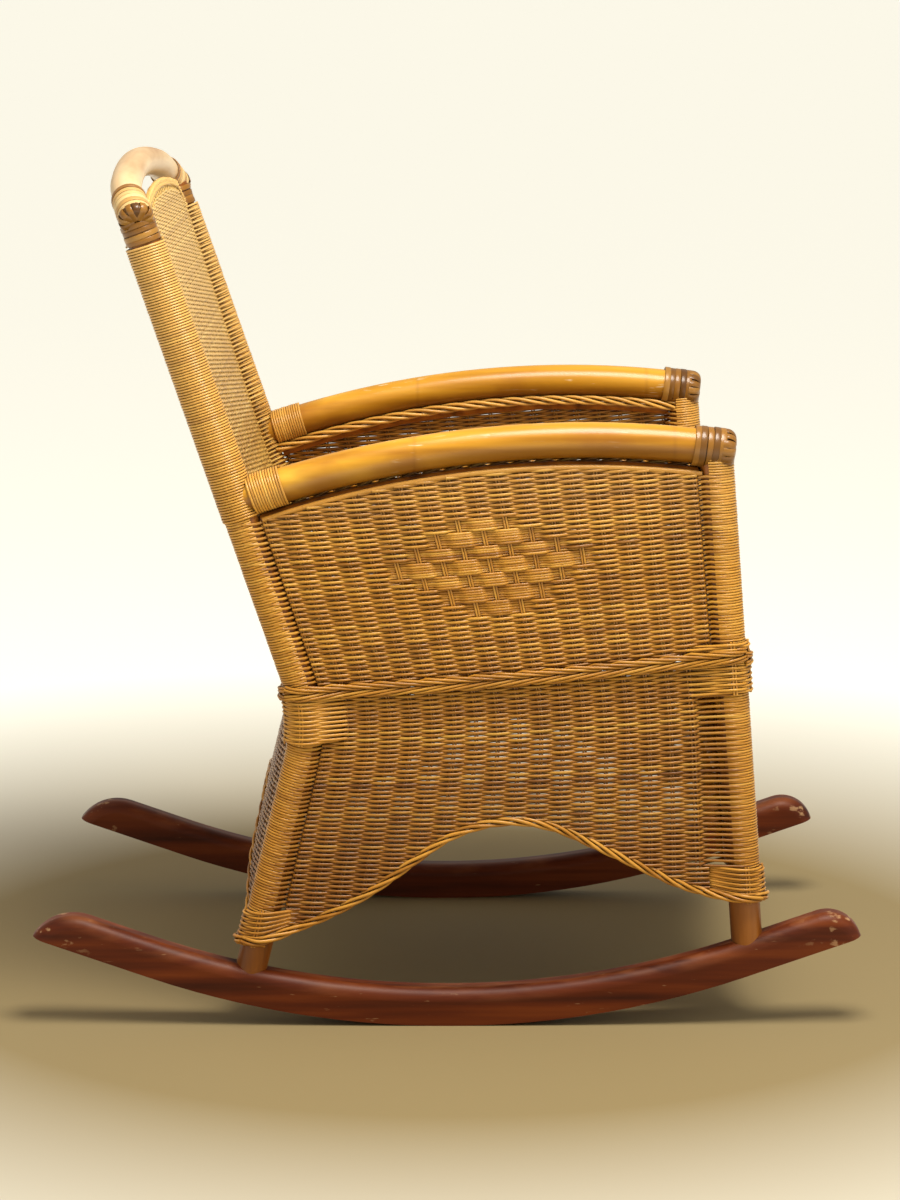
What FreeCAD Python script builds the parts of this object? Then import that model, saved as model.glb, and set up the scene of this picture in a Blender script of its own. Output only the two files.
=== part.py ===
import FreeCAD, Part
import math
import os

from FreeCAD import Vector

# A rattan rocking chair: a frame of bent poles on two bow rockers, with woven panels, plaited braids,
# reed wraps and cane bindings. X runs forward, Y to the sitter's left and Z up, in millimetres, from the
# floor below the middle of the chair. Each right hand piece is modelled at negative Y and mirrored.

# Poles and strands
side_spacing = 540.0        # between the middle planes of the two sides
pole_d = 34.5               # posts and legs
arm_d = 38.5
top_rail_d = 34.0
seat_rail_d = 28.0
bearer_d = 20.0
stretcher_d = 22.0
under_rail_d = 13.0
reed_d = 2.6                # reed of the weave and of the post wraps
panel_out = 9.0             # from the posts' middle plane out to the middle of a woven panel
back_forward = 14.0         # from the rear posts' middle plane forward to the middle of the back weave
fit_gap = 0.1               # all round a tenon or a screw in its hole
seat_gap = 0.2              # between a braid, rod or cap and the piece it lies against

# Rockers
rocker_length = 914.0       # tip to tip, level
rocker_bow_r = 1000.0       # underside of the bowed middle
rocker_bow_half = 330.0     # from the middle to where each straight tip begins
rocker_w = 40.0
rocker_h = 41.0             # straight up from the underside to the top
rocker_edge_r = 14.0
rocker_rear_nose = 52.0     # length of the rounded end
rocker_front_nose = 38.0

# Posts
front_post_x = 339.0        # where the line of the front posts meets the floor
front_rake = 4.46           # degrees, leaning back as they rise
rear_bend_x = -147.0        # where the two straight runs of a rear post would meet
rear_bend_z = 346.0
rear_bend_r = 180.0
back_rake = 18.8
rear_leg_splay = 13.8
foot_tenon_d = 22.0
foot_tenon_depth = 24.0
arm_tenon_d = 16.0
arm_tenon_depth = 14.0
rail_tenon_d = 10.0
rail_tenon_depth = 8.0

# Arms
arm_crest_x = 151.0
arm_crest_z = 650.5
arm_bow_r = 1125.0
arm_front_overhang = 17.0   # of the pole past the line of the front post
arm_cap_length = 41.0
arm_cap_wall = 3.2
arm_cap_round = 11.0
arm_braid_d = 10.0
binding_reed_d = 2.9
binding_pitch = 3.4
binding_turns = 11

# Top rail, an arch that leans back more than the posts
top_rail_z = 897.0          # height of its middle line where it crosses a post
top_rail_lean = 29.0        # degrees from upright
top_rail_end_angle = 36.0
top_rail_mid_angle = 7.0
top_rail_shoulder_r = 140.0
top_rail_overhang = 20.0
cane_t = 2.2                # flat cane and peel
cane_cap_length = 10.0
cane_cap_round = 8.0
cane_binding_length = 36.0
hand_gap = 10.0             # between the top rail and the border of the back
border_d = 10.0
border_shoulder_r = 60.0
border_end_angle = 61.0

# Seat
seat_front_z = 403.0        # middle of the front seat rail
seat_rear_z = 362.0
seat_line_rise = 13.0       # from the rail's middle up to the braid at the side
seat_line_sag = 5.0
bearer_y = 95.0
braid_h = 16.0
seat_band_h = 56.0          # woven band round a post at seat height

# Skirts
hem_crest_x = 73.0
hem_crest_z = 232.0
hem_crest_r = 150.0
hem_rear_z = 99.0
hem_rear_slope = 14.0
hem_rear_sweep_r = 407.0
hem_front_z = 148.0
hem_front_slope = 0.0
hem_front_sweep_r = 200.0
hem_cross_crest_r = 110.0   # front and rear skirts
hem_cross_sweep_r = 110.0
hem_d = 10.0
hem_band_h = 42.0           # woven band round a leg at the hem
hem_band_lip = 4.0          # of that band below the braid
stretcher_above_hem = 20.0

# Relief of the weave: a rib at each pair of stakes, and the diamond under the arms
side_stakes = 17            # pairs of upright stakes between two posts
back_stakes = 23
stake_edge = 45.0           # from a post's middle line to the first pair, at the seat
rib_w = 9.0                 # crest of a rib
rib_h = 2.4                 # from the crest down to the valley between two ribs
diamond_foot = 76.0         # from the seat line up to the diamond
diamond_step_h = 14.75
diamond_steps = (2, 3, 4, 5, 4, 3, 2)   # pairs of stakes laid open in each step
bar_w = 13.0                # of the place where a pair lies open

# Screws
screw_d = 4.5
screw_head_d = 9.0
screw_head_h = 4.0
screw_length = 46.0
screw_recess = 6.0          # the head lies this deep below the surface

# Worked out from the sizes above
side_y = side_spacing / 2
pole_r = pole_d / 2
arm_r = arm_d / 2
top_rail_r = top_rail_d / 2
seat_rail_r = seat_rail_d / 2
under_rail_r = under_rail_d / 2
hem_r = hem_d / 2
border_r = border_d / 2
panel_t = 3 * reed_d
wrap_r = pole_r + reed_d
band_r = wrap_r + reed_d
peel_r = pole_r + cane_t
rocker_tilt = math.asin(rocker_bow_half / rocker_bow_r)
front_slope = math.tan(math.radians(front_rake))
back_slope = math.tan(math.radians(back_rake))
leg_slope = math.tan(math.radians(rear_leg_splay))
front_up = Vector(-front_slope, 0, 1).normalize()
back_up = Vector(-back_slope, 0, 1).normalize()
rail_up = Vector(-math.tan(math.radians(top_rail_lean)), 0, 1).normalize()
leg_up = Vector(leg_slope, 0, 1).normalize()
across = Vector(0, 1, 0)
nodes = {}


# Shapes that every piece is made from


def rod(start, end, r):
    """Round bar between two points."""
    return Part.makeCylinder(r, start.distanceToPoint(end), start, end.sub(start))


def line(start, end):
    return Part.LineSegment(start, end).toShape()


def arc(start, middle, end):
    return Part.Arc(start, middle, end).toShape()


def pipe(edges, r):
    """Round bar along joined lines and arcs."""
    first = edges[0]
    start = first.valueAt(first.FirstParameter)
    ring = Part.Wire(Part.makeCircle(r, start, first.tangentAt(first.FirstParameter)))
    return Part.Wire(edges).makePipeShell([ring], True, False)


def sheet(edges, normal, thickness):
    """Flat panel of this outline, with the outline in its middle plane."""
    face = Part.Face(Part.Wire(edges))
    face.translate(normal * (-thickness / 2))
    return face.extrude(normal * thickness)


def round_ends(shape, ends, r):
    """The bar with the rims of its ends rounded."""
    rims = []
    for edge in shape.Edges:
        if min(edge.CenterOfMass.distanceToPoint(end) for end in ends) < 1.0:
            rims.append(edge)
    return shape.makeFillet(r, rims)


def mirrored(shape):
    return shape.mirror(Vector(0, 0, 0), across)


def both(shape):
    """The piece and its mirror image."""
    return [shape, mirrored(shape)]


def keep(name, shape):
    nodes[name] = shape


def keep_pair(name, shape):
    keep(name + "_right", shape)
    keep(name + "_left", mirrored(shape))


# Lines of the frame, on the right hand side


def front_axis(z):
    return Vector(front_post_x - front_slope * z, -side_y, z)


bend_tangent = rear_bend_r * math.tan(math.radians((back_rake + rear_leg_splay) / 2))
bend_point = Vector(rear_bend_x, -side_y, rear_bend_z)
bend_low = bend_point - leg_up * bend_tangent
bend_high = bend_point + back_up * bend_tangent
bend_centre = bend_low + Vector(-leg_up.z, 0, leg_up.x) * rear_bend_r


def rear_axis(z):
    """Middle line of the bent rear post at this height."""
    if z <= bend_low.z:
        return Vector(rear_bend_x - leg_slope * (rear_bend_z - z), -side_y, z)
    if z >= bend_high.z:
        return Vector(rear_bend_x - back_slope * (z - rear_bend_z), -side_y, z)
    reach = math.sqrt(rear_bend_r ** 2 - (z - bend_centre.z) ** 2)
    return Vector(bend_centre.x + reach, -side_y, z)


def rear_run(low, high):
    """Lines and arc of the rear post's middle line between two heights."""
    edges = []
    if low < bend_low.z:
        edges.append(line(rear_axis(low), rear_axis(min(high, bend_low.z))))
    start = max(low, bend_low.z)
    end = min(high, bend_high.z)
    if start < end:
        edges.append(arc(rear_axis(start), rear_axis((start + end) / 2), rear_axis(end)))
    if high > bend_high.z:
        edges.append(line(rear_axis(max(low, bend_high.z)), rear_axis(high)))
    return edges


def arm_axis(x, drop=0.0, y=-side_y):
    """Middle line of the arm, or of a line that runs this far below it."""
    r = arm_bow_r - drop
    return Vector(x, y, arm_crest_z - arm_bow_r + math.sqrt(r ** 2 - (x - arm_crest_x) ** 2))


def arm_run(start_x, end_x, drop=0.0, y=-side_y):
    middle_x = (start_x + end_x) / 2
    return [arc(arm_axis(start_x, drop, y), arm_axis(middle_x, drop, y), arm_axis(end_x, drop, y))]


def meet(axis, height, start):
    """Point where a post's middle line reaches a height that depends on X."""
    z = start
    for step in range(40):
        z = height(axis(z).x)
    return axis(z)


def rocker_height(x, above):
    """Height of the line that runs straight above the rocker's underside by this much."""
    reach = min(abs(x), rocker_bow_half)
    bow = rocker_bow_r - math.sqrt(rocker_bow_r ** 2 - reach ** 2)
    return above + bow + (abs(x) - reach) * math.tan(rocker_tilt)


def rocker_top(x):
    return rocker_height(x, rocker_h)


front_foot = meet(front_axis, rocker_top, rocker_h)
rear_foot = meet(rear_axis, rocker_top, rocker_h)
arm_front = meet(front_axis, lambda x: arm_axis(x).z, arm_crest_z)
arm_rear = meet(rear_axis, lambda x: arm_axis(x).z, arm_crest_z)
arm_front_x = arm_front.x + arm_front_overhang
post_top = rear_axis(top_rail_z)


back_ahead = Vector(back_up.z, 0, -back_up.x)


def back_at(u, v):
    """Point of the back weave's middle plane: Y, and distance up the posts from their bend."""
    return Vector(rear_bend_x, u, rear_bend_z) + back_up * v + back_ahead * back_forward


def rail_at(u, v):
    """Point of the top rail's own plane: Y, and distance up from where it crosses the posts."""
    return Vector(post_top.x, u, post_top.z) + rail_up * v


def arch(half, shoulder_r, end_angle):
    """Y and rise of the points of an arch, from the right end over the crown to the left end."""
    end = math.radians(end_angle)
    mid = math.radians(top_rail_mid_angle)
    way = (end + mid) / 2
    way_u = half - shoulder_r * (math.sin(end) - math.sin(way))
    way_v = shoulder_r * (math.cos(way) - math.cos(end))
    join_u = half - shoulder_r * (math.sin(end) - math.sin(mid))
    join_v = shoulder_r * (math.cos(mid) - math.cos(end))
    crown_v = join_v + join_u * math.tan(mid / 2)
    right = [(-half, 0.0), (-way_u, way_v), (-join_u, join_v)]
    left = [(-u, v) for u, v in reversed(right)]
    return right + [(0.0, crown_v)] + left


def arch_edges(at, foot, shape):
    """The three arcs of an arch, in the plane that the function at gives, from this height up."""
    points = [at(u, foot + v) for u, v in shape]
    return [arc(*points[0:3]), arc(*points[2:5]), arc(*points[4:7])]


# Rockers


def rocker_end(sign, nose):
    """Tip of the underside, start of the nose on top and a point of the nose between them."""
    out = Vector(sign * math.cos(rocker_tilt), 0, math.sin(rocker_tilt))
    up = Vector(-sign * math.sin(rocker_tilt), 0, math.cos(rocker_tilt))
    tip = Vector(sign * rocker_length / 2, 0, rocker_height(rocker_length / 2, 0.0))
    tip_h = rocker_h * math.cos(rocker_tilt)
    nose_r = (nose ** 2 + tip_h ** 2) / (2 * tip_h)
    turn = (math.pi / 2 + math.atan2(nose_r - tip_h, nose)) / 2
    start = tip - out * nose + up * tip_h
    middle = start + out * (nose_r * math.cos(turn)) + up * (nose_r * (math.sin(turn) - 1))
    return tip, middle, start


def rocker_join(sign, above):
    """End of the bowed part, this far above the underside."""
    return Vector(sign * rocker_bow_half, 0, rocker_height(rocker_bow_half, above))


def rocker_blank():
    rear_tip, rear_middle, rear_start = rocker_end(-1, rocker_rear_nose)
    front_tip, front_middle, front_start = rocker_end(1, rocker_front_nose)
    below = Vector(0, 0, 0)
    above = Vector(0, 0, rocker_h)
    edges = [
        line(rear_tip, rocker_join(-1, 0)),
        arc(rocker_join(-1, 0), below, rocker_join(1, 0)),
        line(rocker_join(1, 0), front_tip),
        arc(front_tip, front_middle, front_start),
        line(front_start, rocker_join(1, rocker_h)),
        arc(rocker_join(1, rocker_h), above, rocker_join(-1, rocker_h)),
        line(rocker_join(-1, rocker_h), rear_start),
        arc(rear_start, rear_middle, rear_tip),
    ]
    blank = sheet(edges, across, rocker_w)
    rounded = []
    for edge in blank.Edges:
        middle = edge.valueAt((edge.FirstParameter + edge.LastParameter) / 2)
        along_side = abs(edge.tangentAt(edge.FirstParameter).y) < 0.5
        if along_side and middle.z > rocker_height(middle.x, rocker_h / 4):
            rounded.append(edge)
    blank = blank.makeFillet(min(rocker_edge_r, 0.45 * rocker_w), rounded)
    blank.translate(Vector(0, -side_y, 0))
    return blank


rocker = rocker_blank()
rocker_shape = rocker.copy()


# Bare poles, before their ends are fitted

front_pole = rod(front_foot - front_up * rocker_h / 2, arm_front, pole_r)
rear_pole = pipe(rear_run(rear_foot.z - rocker_h / 2, top_rail_z), pole_r)
arm_pole = pipe(arm_run(arm_rear.x, arm_front_x), arm_r)
arm_pole = round_ends(arm_pole, [arm_axis(arm_front_x)], arm_cap_round - arm_cap_wall)
rail_arch = arch(side_y, top_rail_shoulder_r, top_rail_end_angle)
rail_edges = arch_edges(rail_at, 0.0, rail_arch)
rail_crown = rail_at(*rail_arch[3])
end_turn = math.radians(top_rail_end_angle)


def rail_point(length):
    """Point of the top rail this far along it from the line of the right post, inward."""
    if length < 0:
        return rail_at(-side_y + length * math.cos(end_turn), length * math.sin(end_turn))
    turn = end_turn - length / top_rail_shoulder_r
    u = -side_y + top_rail_shoulder_r * (math.sin(end_turn) - math.sin(turn))
    return rail_at(u, top_rail_shoulder_r * (math.cos(turn) - math.cos(end_turn)))


def rail_run(start, end):
    """Line and arc of the top rail's right end, between two lengths along it."""
    edges = []
    if start < 0:
        edges.append(line(rail_point(start), rail_point(min(end, 0.0))))
    if end > 0:
        first = max(start, 0.0)
        edges.append(arc(rail_point(first), rail_point((first + end) / 2), rail_point(end)))
    return edges


def rail_pole():
    tail = rail_point(-top_rail_overhang)
    mirror_tail = Vector(tail.x, -tail.y, tail.z)
    left_end = line(rail_at(side_y, 0.0), mirror_tail)
    pole = pipe(rail_run(-top_rail_overhang, 0.0) + rail_edges + [left_end], top_rail_r)
    return round_ends(pole, [tail, mirror_tail], cane_cap_round - cane_t)


top_rail = rail_pole()
border_half = side_y - wrap_r
border_arch = arch(border_half, border_shoulder_r, border_end_angle)
border_crown_v = (rail_crown - bend_point).dot(back_up) - top_rail_r - hand_gap - border_r
border_end_v = border_crown_v - border_arch[3][1]
wrap_top_z = rear_bend_z + border_end_v * back_up.z

# Wraps of reed, as the outer solids that everything beside a post is cut back to

front_band_top = seat_front_z + seat_band_h / 2
front_band_foot = seat_front_z - seat_band_h / 2
rear_band_top = seat_rear_z + seat_line_rise
rear_band_foot = rear_band_top - seat_band_h
front_hem_foot = hem_front_z - hem_r - hem_band_lip
rear_hem_foot = hem_rear_z - hem_r - hem_band_lip


def front_wrapped(low, high, r):
    return rod(front_axis(low), front_axis(high), r)


def rear_wrapped(low, high, r):
    return pipe(rear_run(low, high), r)


front_leg_outer = front_wrapped(front_hem_foot, front_band_top, wrap_r)
front_leg_outer = front_leg_outer.fuse([
    front_wrapped(front_hem_foot, front_hem_foot + hem_band_h, band_r),
    front_wrapped(front_band_foot, front_band_top, band_r),
])
front_post_outer = front_wrapped(front_band_top, arm_front.z, wrap_r)
rear_leg_outer = rear_wrapped(rear_hem_foot, rear_band_top, wrap_r)
rear_leg_outer = rear_leg_outer.fuse([
    rear_wrapped(rear_hem_foot, rear_hem_foot + hem_band_h, band_r),
    rear_wrapped(rear_band_foot, rear_band_top, band_r),
])
rear_post_outer = rear_wrapped(rear_band_top, wrap_top_z, wrap_r)
right_outers = [front_leg_outer, front_post_outer, rear_leg_outer, rear_post_outer]
all_outers = right_outers + [mirrored(outer) for outer in right_outers]


# Arms

arm_tenon_end = rear_axis(arm_rear.z) + back_ahead * (pole_r - arm_tenon_depth)
arm_tenon_start = arm_axis(arm_tenon_end.x + wrap_r + arm_tenon_depth)
arm_rear_tenon = rod(arm_tenon_end, arm_tenon_start, arm_tenon_d / 2)
arm_rail = arm_pole.cut(rear_post_outer).fuse(arm_rear_tenon).removeSplitter()
arm_post_tenon = rod(arm_front - front_up * 2 * arm_r, arm_front, arm_tenon_d / 2)

cap_rear_x = arm_front_x + arm_cap_wall - arm_cap_length
cap_front_x = arm_front_x + arm_cap_wall
arm_cap_outer = pipe(arm_run(cap_rear_x, cap_front_x), arm_r + arm_cap_wall)
arm_cap_outer = round_ends(arm_cap_outer, [arm_axis(cap_front_x)], arm_cap_round)

under_drop = arm_r + arm_cap_wall + seat_gap + under_rail_r
under_rail_pole = pipe(arm_run(arm_rear.x, arm_front.x, under_drop), under_rail_r)
under_rail = under_rail_pole.cut([rear_post_outer, front_post_outer])
arm_braid_y = -side_y + under_rail_r + seat_gap + arm_braid_d / 2
arm_braid = pipe(arm_run(arm_rear.x, arm_front.x, under_drop, arm_braid_y), arm_braid_d / 2)
arm_braid = arm_braid.cut([rear_post_outer, front_post_outer])


def join(start, start_way, end, end_way):
    """Two arcs that leave one point and reach another along the given directions."""
    span = end - start
    ways = start_way + end_way
    spread = 2 * (1 - start_way.dot(end_way))
    root = math.sqrt(span.dot(ways) ** 2 + spread * span.dot(span))
    reach = (root - span.dot(ways)) / spread
    middle = (start + start_way * reach + end - end_way * reach) * 0.5
    first = arc(start, arc_middle(start, start_way, middle), middle)
    second = arc(middle, arc_middle(end, end_way * -1, middle), end)
    return [first, second]


def arc_middle(start, way, end):
    """Middle of the arc that leaves a start along a way and reaches an end."""
    chord = end - start
    unit = chord * (1 / chord.Length)
    side = way - unit * way.dot(unit)
    rise = math.tan(math.acos(way.dot(unit)) / 2) * chord.Length / 2
    return start + chord * 0.5 + side * (rise / side.Length)


def arm_binding():
    """Round reed wound on the rear end of the arm, as one helix with straight ends."""
    reed_r = binding_reed_d / 2
    coil_r = arm_r + seat_gap + reed_r
    start_x = arm_rear.x + (wrap_r + 2 * reed_r) * back_up.z
    base = arm_axis(start_x)
    ahead = (arm_axis(start_x + binding_pitch * binding_turns) - base).normalize()
    up = Vector(-ahead.z, 0, ahead.x)
    quarters = 4 * binding_turns
    lead = binding_pitch / (2 * math.pi)

    def point(turn):
        ring = up * math.cos(turn) + across * math.sin(turn)
        return base + ahead * (lead * turn) + ring * coil_r

    def way(turn):
        ring = across * math.cos(turn) - up * math.sin(turn)
        return (ring * coil_r + ahead * lead).normalize()

    edges = []
    for quarter in range(quarters):
        start = quarter * math.pi / 2
        end = start + math.pi / 2
        edges += join(point(start), way(start), point(end), way(end))
    last = quarters * math.pi / 2
    lead_in = line(point(0) - way(0) * binding_reed_d, point(0))
    lead_out = line(point(last), point(last) + way(last) * binding_reed_d)
    step = math.pi / 24
    here = point(2 * math.pi)
    beside = [point(4 * math.pi + i * step) for i in range(-12, 13)]
    gap = min(here.distanceToPoint(other) for other in beside) - binding_reed_d
    print("arm binding: least gap between turns", round(gap, 2), "mm")
    return pipe([lead_in] + edges + [lead_out], reed_r)


binding = arm_binding()


# Ends of the top rail

cap_start = -top_rail_overhang - cane_t
cap_end = cap_start + cane_cap_length
post_top_outer = rod(rear_axis(wrap_top_z), post_top, peel_r)
post_top_sleeve = post_top_outer.cut([rear_pole, top_rail])
rail_cap = pipe(rail_run(cap_start, cap_end), top_rail_r + cane_t)
rail_cap = round_ends(rail_cap, [rail_point(cap_start)], cane_cap_round)
top_rail_cap = rail_cap.cut([top_rail, post_top_outer])
rail_binding = pipe(rail_run(cap_end, cap_end + cane_binding_length), top_rail_r + cane_t)
top_rail_binding = rail_binding.cut([top_rail, post_top_outer])


# Seat frame

rail_in = seat_rail_r + panel_t / 2 + seat_gap - panel_out
front_rail_x = front_axis(seat_front_z).x - rail_in / front_up.z
rear_rail_x = rear_axis(seat_rear_z).x + rail_in / leg_up.z
side_rail_y = side_y - rail_in
side_rail_drop = seat_rail_r + rail_tenon_d / 2 + seat_gap


def cross_rail(x, z, r, poles):
    """Rail across the chair, coped to two posts, with a tenon in each."""
    rail = rod(Vector(x, -side_y, z), Vector(x, side_y, z), r).cut(poles)
    tenon_y = side_y - pole_r + rail_tenon_depth
    tenon = rod(Vector(x, -tenon_y, z), Vector(x, tenon_y, z), rail_tenon_d / 2)
    return rail.fuse(tenon).removeSplitter()


front_poles = both(front_pole)
rear_poles = both(rear_pole)
seat_rail_front = cross_rail(front_rail_x, seat_front_z, seat_rail_r, front_poles)
seat_rail_rear = cross_rail(rear_rail_x, seat_rear_z, seat_rail_r, rear_poles)
side_rail_rear = Vector(rear_rail_x - rail_in, -side_rail_y, seat_rear_z - side_rail_drop)
side_rail_front = Vector(front_rail_x + rail_in, -side_rail_y, seat_front_z - side_rail_drop)
side_way = (side_rail_front - side_rail_rear).normalize()
side_tenon_in = pole_r - rail_tenon_depth
side_rail = rod(side_rail_rear, side_rail_front, seat_rail_r).cut([front_pole, rear_pole])
side_tenon = rod(side_rail_rear + side_way * side_tenon_in, side_rail_front - side_way * side_tenon_in,
                 rail_tenon_d / 2)
side_rail = side_rail.fuse(side_tenon).removeSplitter().cut([seat_rail_front, seat_rail_rear])

stretcher_z = hem_crest_z + hem_r + stretcher_above_hem
stretcher_r = stretcher_d / 2
stretcher_in = stretcher_r + panel_t / 2 + seat_gap - panel_out
front_stretcher_x = front_axis(stretcher_z).x - stretcher_in / front_up.z
rear_stretcher_x = rear_axis(stretcher_z).x + stretcher_in / leg_up.z
leg_stretcher_front = cross_rail(front_stretcher_x, stretcher_z, stretcher_r, front_poles)
leg_stretcher_rear = cross_rail(rear_stretcher_x, stretcher_z, stretcher_r, rear_poles)

seat_fall = math.atan2(seat_front_z - seat_rear_z, front_rail_x - rear_rail_x)
seat_up = Vector(-math.sin(seat_fall), 0, math.cos(seat_fall))
seat_ahead = Vector(math.cos(seat_fall), 0, math.sin(seat_fall))
bearer_lift = seat_up * (seat_rail_r - bearer_d / 2)
bearer_rear = Vector(rear_rail_x, -bearer_y, seat_rear_z) + bearer_lift
bearer_front = Vector(front_rail_x, -bearer_y, seat_front_z) + bearer_lift
bearer_tenon_in = seat_rail_r - rail_tenon_depth
bearer = rod(bearer_rear, bearer_front, bearer_d / 2).cut([seat_rail_front, seat_rail_rear])
bearer_tenon = rod(bearer_rear + seat_ahead * bearer_tenon_in, bearer_front - seat_ahead * bearer_tenon_in,
                   rail_tenon_d / 2)
bearer = bearer.fuse(bearer_tenon).removeSplitter()
seat_rail_front = seat_rail_front.cut(both(bearer))
seat_rail_rear = seat_rail_rear.cut(both(bearer))
cross_rails = [seat_rail_front, seat_rail_rear, leg_stretcher_front, leg_stretcher_rear]
right_rails = cross_rails + [side_rail]


# Woven panels and their hems


def flank_angle(run, rise, crest_r, sweep_r, end_angle):
    """Angle of the straight flank between the arc at a hem's crest and the sweep beside a leg."""
    low = end_angle
    high = math.radians(75)
    for step in range(60):
        angle = (low + high) / 2
        flat = run - (crest_r + sweep_r) * math.sin(angle) + sweep_r * math.sin(end_angle)
        drop = crest_r * (1 - math.cos(angle)) + flat * math.tan(angle)
        drop += sweep_r * (math.cos(end_angle) - math.cos(angle))
        if drop < rise:
            low = angle
        else:
            high = angle
    return angle


def hem_half(run, rise, crest_r, sweep_r, end_slope):
    """Run and drop from the crest of a hem at each end and middle of its arcs, out to a leg."""
    end = math.radians(end_slope)
    angle = flank_angle(run, rise, crest_r, sweep_r, end)
    half = angle / 2
    way = (angle + end) / 2
    return [
        (crest_r * math.sin(half), crest_r * (1 - math.cos(half))),
        (crest_r * math.sin(angle), crest_r * (1 - math.cos(angle))),
        (run - sweep_r * (math.sin(angle) - math.sin(end)), rise - sweep_r * (math.cos(end) - math.cos(angle))),
        (run - sweep_r * (math.sin(way) - math.sin(end)), rise - sweep_r * (math.cos(end) - math.cos(way))),
        (run, rise),
    ]


def hem_edges(at, crest, before, after):
    """Edges of a hem in the plane that the function at gives, from one leg over the crest to the other."""
    first = [at(crest[0] - run, crest[1] - drop) for run, drop in before]
    last = [at(crest[0] + run, crest[1] - drop) for run, drop in after]
    return [
        arc(first[4], first[3], first[2]),
        line(first[2], first[1]),
        arc(first[1], at(*crest), last[1]),
        line(last[1], last[2]),
        arc(last[2], last[3], last[4]),
    ]


panel_y = side_y + panel_out


def side_at(x, z):
    return Vector(x, -panel_y, z)


seat_line_rear = rear_axis(seat_rear_z + seat_line_rise)
seat_line_front = front_axis(seat_front_z + seat_line_rise)


def seat_line(rise, y):
    """The gently sagging line of the seat on a side, moved up by a rise: its two ends and its middle."""
    start = Vector(seat_line_rear.x, y, seat_line_rear.z + rise)
    end = Vector(seat_line_front.x, y, seat_line_front.z + rise)
    middle = (start + end) * 0.5 - Vector(0, 0, seat_line_sag)
    return start, middle, end


def side_hem():
    rear_run_x = hem_crest_x - rear_axis(hem_rear_z).x
    front_run_x = front_axis(hem_front_z).x - hem_crest_x
    before = hem_half(rear_run_x, hem_crest_z - hem_rear_z, hem_crest_r, hem_rear_sweep_r, hem_rear_slope)
    after = hem_half(front_run_x, hem_crest_z - hem_front_z, hem_crest_r, hem_front_sweep_r, hem_front_slope)
    return hem_edges(side_at, (hem_crest_x, hem_crest_z), before, after)


side_hem_edges = side_hem()
hem_braid_side = pipe(side_hem_edges, hem_r).cut(right_outers)
seat_start, seat_middle, seat_end = seat_line(0.0, -panel_y)
hem_start = side_hem_edges[0].valueAt(side_hem_edges[0].FirstParameter)
hem_end = side_hem_edges[-1].valueAt(side_hem_edges[-1].LastParameter)
skirt_edges = side_hem_edges + [
    line(hem_end, seat_end),
    arc(seat_end, seat_middle, seat_start),
    line(seat_start, hem_start),
]
side_skirt = sheet(skirt_edges, across, panel_t).cut(right_outers + [hem_braid_side])

panel_top_rear = arm_axis(arm_rear.x, under_drop, -panel_y)
panel_top_front = arm_axis(arm_front.x, under_drop, -panel_y)
panel_edges = [
    arc(seat_start, seat_middle, seat_end),
    line(seat_end, panel_top_front),
    arm_run(panel_top_front.x, panel_top_rear.x, under_drop, -panel_y)[0],
    line(panel_top_rear, seat_start),
]


def share_of(place, count, edge):
    """How far across a panel the pair with this number lies, from 0 at one post to 1 at the other."""
    return edge + (1 - 2 * edge) * place / (count - 1)


def valley_spans(count, span):
    """Start and end of each valley between two ribs, or between a rib and a post, as shares of a span."""
    middles = [share_of(i, count, stake_edge / span) for i in range(count)]
    half = rib_w / 2 / span
    starts = [0.0] + [middle + half for middle in middles]
    ends = [middle - half for middle in middles] + [1.0]
    return list(zip(starts, ends))


def fan_at(share, z, y):
    """Point on a stake of a side panel. The stakes fan out as the lines of the two posts do."""
    rear_x = rear_bend_x - back_slope * (z - rear_bend_z)
    return Vector(rear_x + share * (front_axis(z).x - rear_x), y, z)


def pyramid(corners, tip):
    """Solid with a flat outline and a tip."""
    faces = [Part.Face(Part.makePolygon(corners + corners[:1]))]
    for i, corner in enumerate(corners):
        faces.append(Part.Face(Part.makePolygon([corners[i - 1], corner, tip, corners[i - 1]])))
    return Part.Solid(Part.Shell(faces))


seat_span = seat_line_front.x - seat_line_rear.x


def side_valleys():
    """Valleys between the ribs on both faces of a side panel, from the point where the posts' lines would meet."""
    tip_z = (rear_bend_x + back_slope * rear_bend_z - front_post_x) / (back_slope - front_slope)
    tip_x = front_axis(tip_z).x
    top_z = arm_crest_z
    valleys = []
    for start, end in valley_spans(side_stakes, seat_span):
        for way in (-1, 1):
            face_y = -panel_y + way * panel_t / 2
            corners = [
                fan_at(start, top_z, face_y),
                fan_at((start + end) / 2, top_z, face_y - way * rib_h),
                fan_at(end, top_z, face_y),
            ]
            valleys.append(pyramid(corners, Vector(tip_x, face_y, tip_z)))
    return valleys


def diamond_bars():
    """Places on the outside where the diamond lays a pair of stakes open."""
    middle_pair = (side_stakes - 1) / 2
    half = bar_w / 2 / seat_span
    bars = []
    for step, count in enumerate(diamond_steps):
        for i in range(count):
            share = share_of(middle_pair - (count - 1) + 2 * i, side_stakes, stake_edge / seat_span)
            rise = share * (seat_line_front.z - seat_line_rear.z) - 4 * seat_line_sag * share * (1 - share)
            low = seat_line_rear.z + rise + diamond_foot + step * diamond_step_h
            high = low + diamond_step_h
            y = -panel_y - panel_t / 2 + rib_h / 2
            places = ((share - half, low), (share + half, low), (share + half, high), (share - half, high))
            corners = [fan_at(at, z, y) for at, z in places]
            bars.append(sheet([line(corners[j - 1], corners[j]) for j in range(4)], across, rib_h))
    return bars


arm_panel = sheet(panel_edges, across, panel_t).cut(side_valleys()).cut(diamond_bars())
arm_panel = arm_panel.cut(right_outers + [under_rail, arm_braid])


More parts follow.
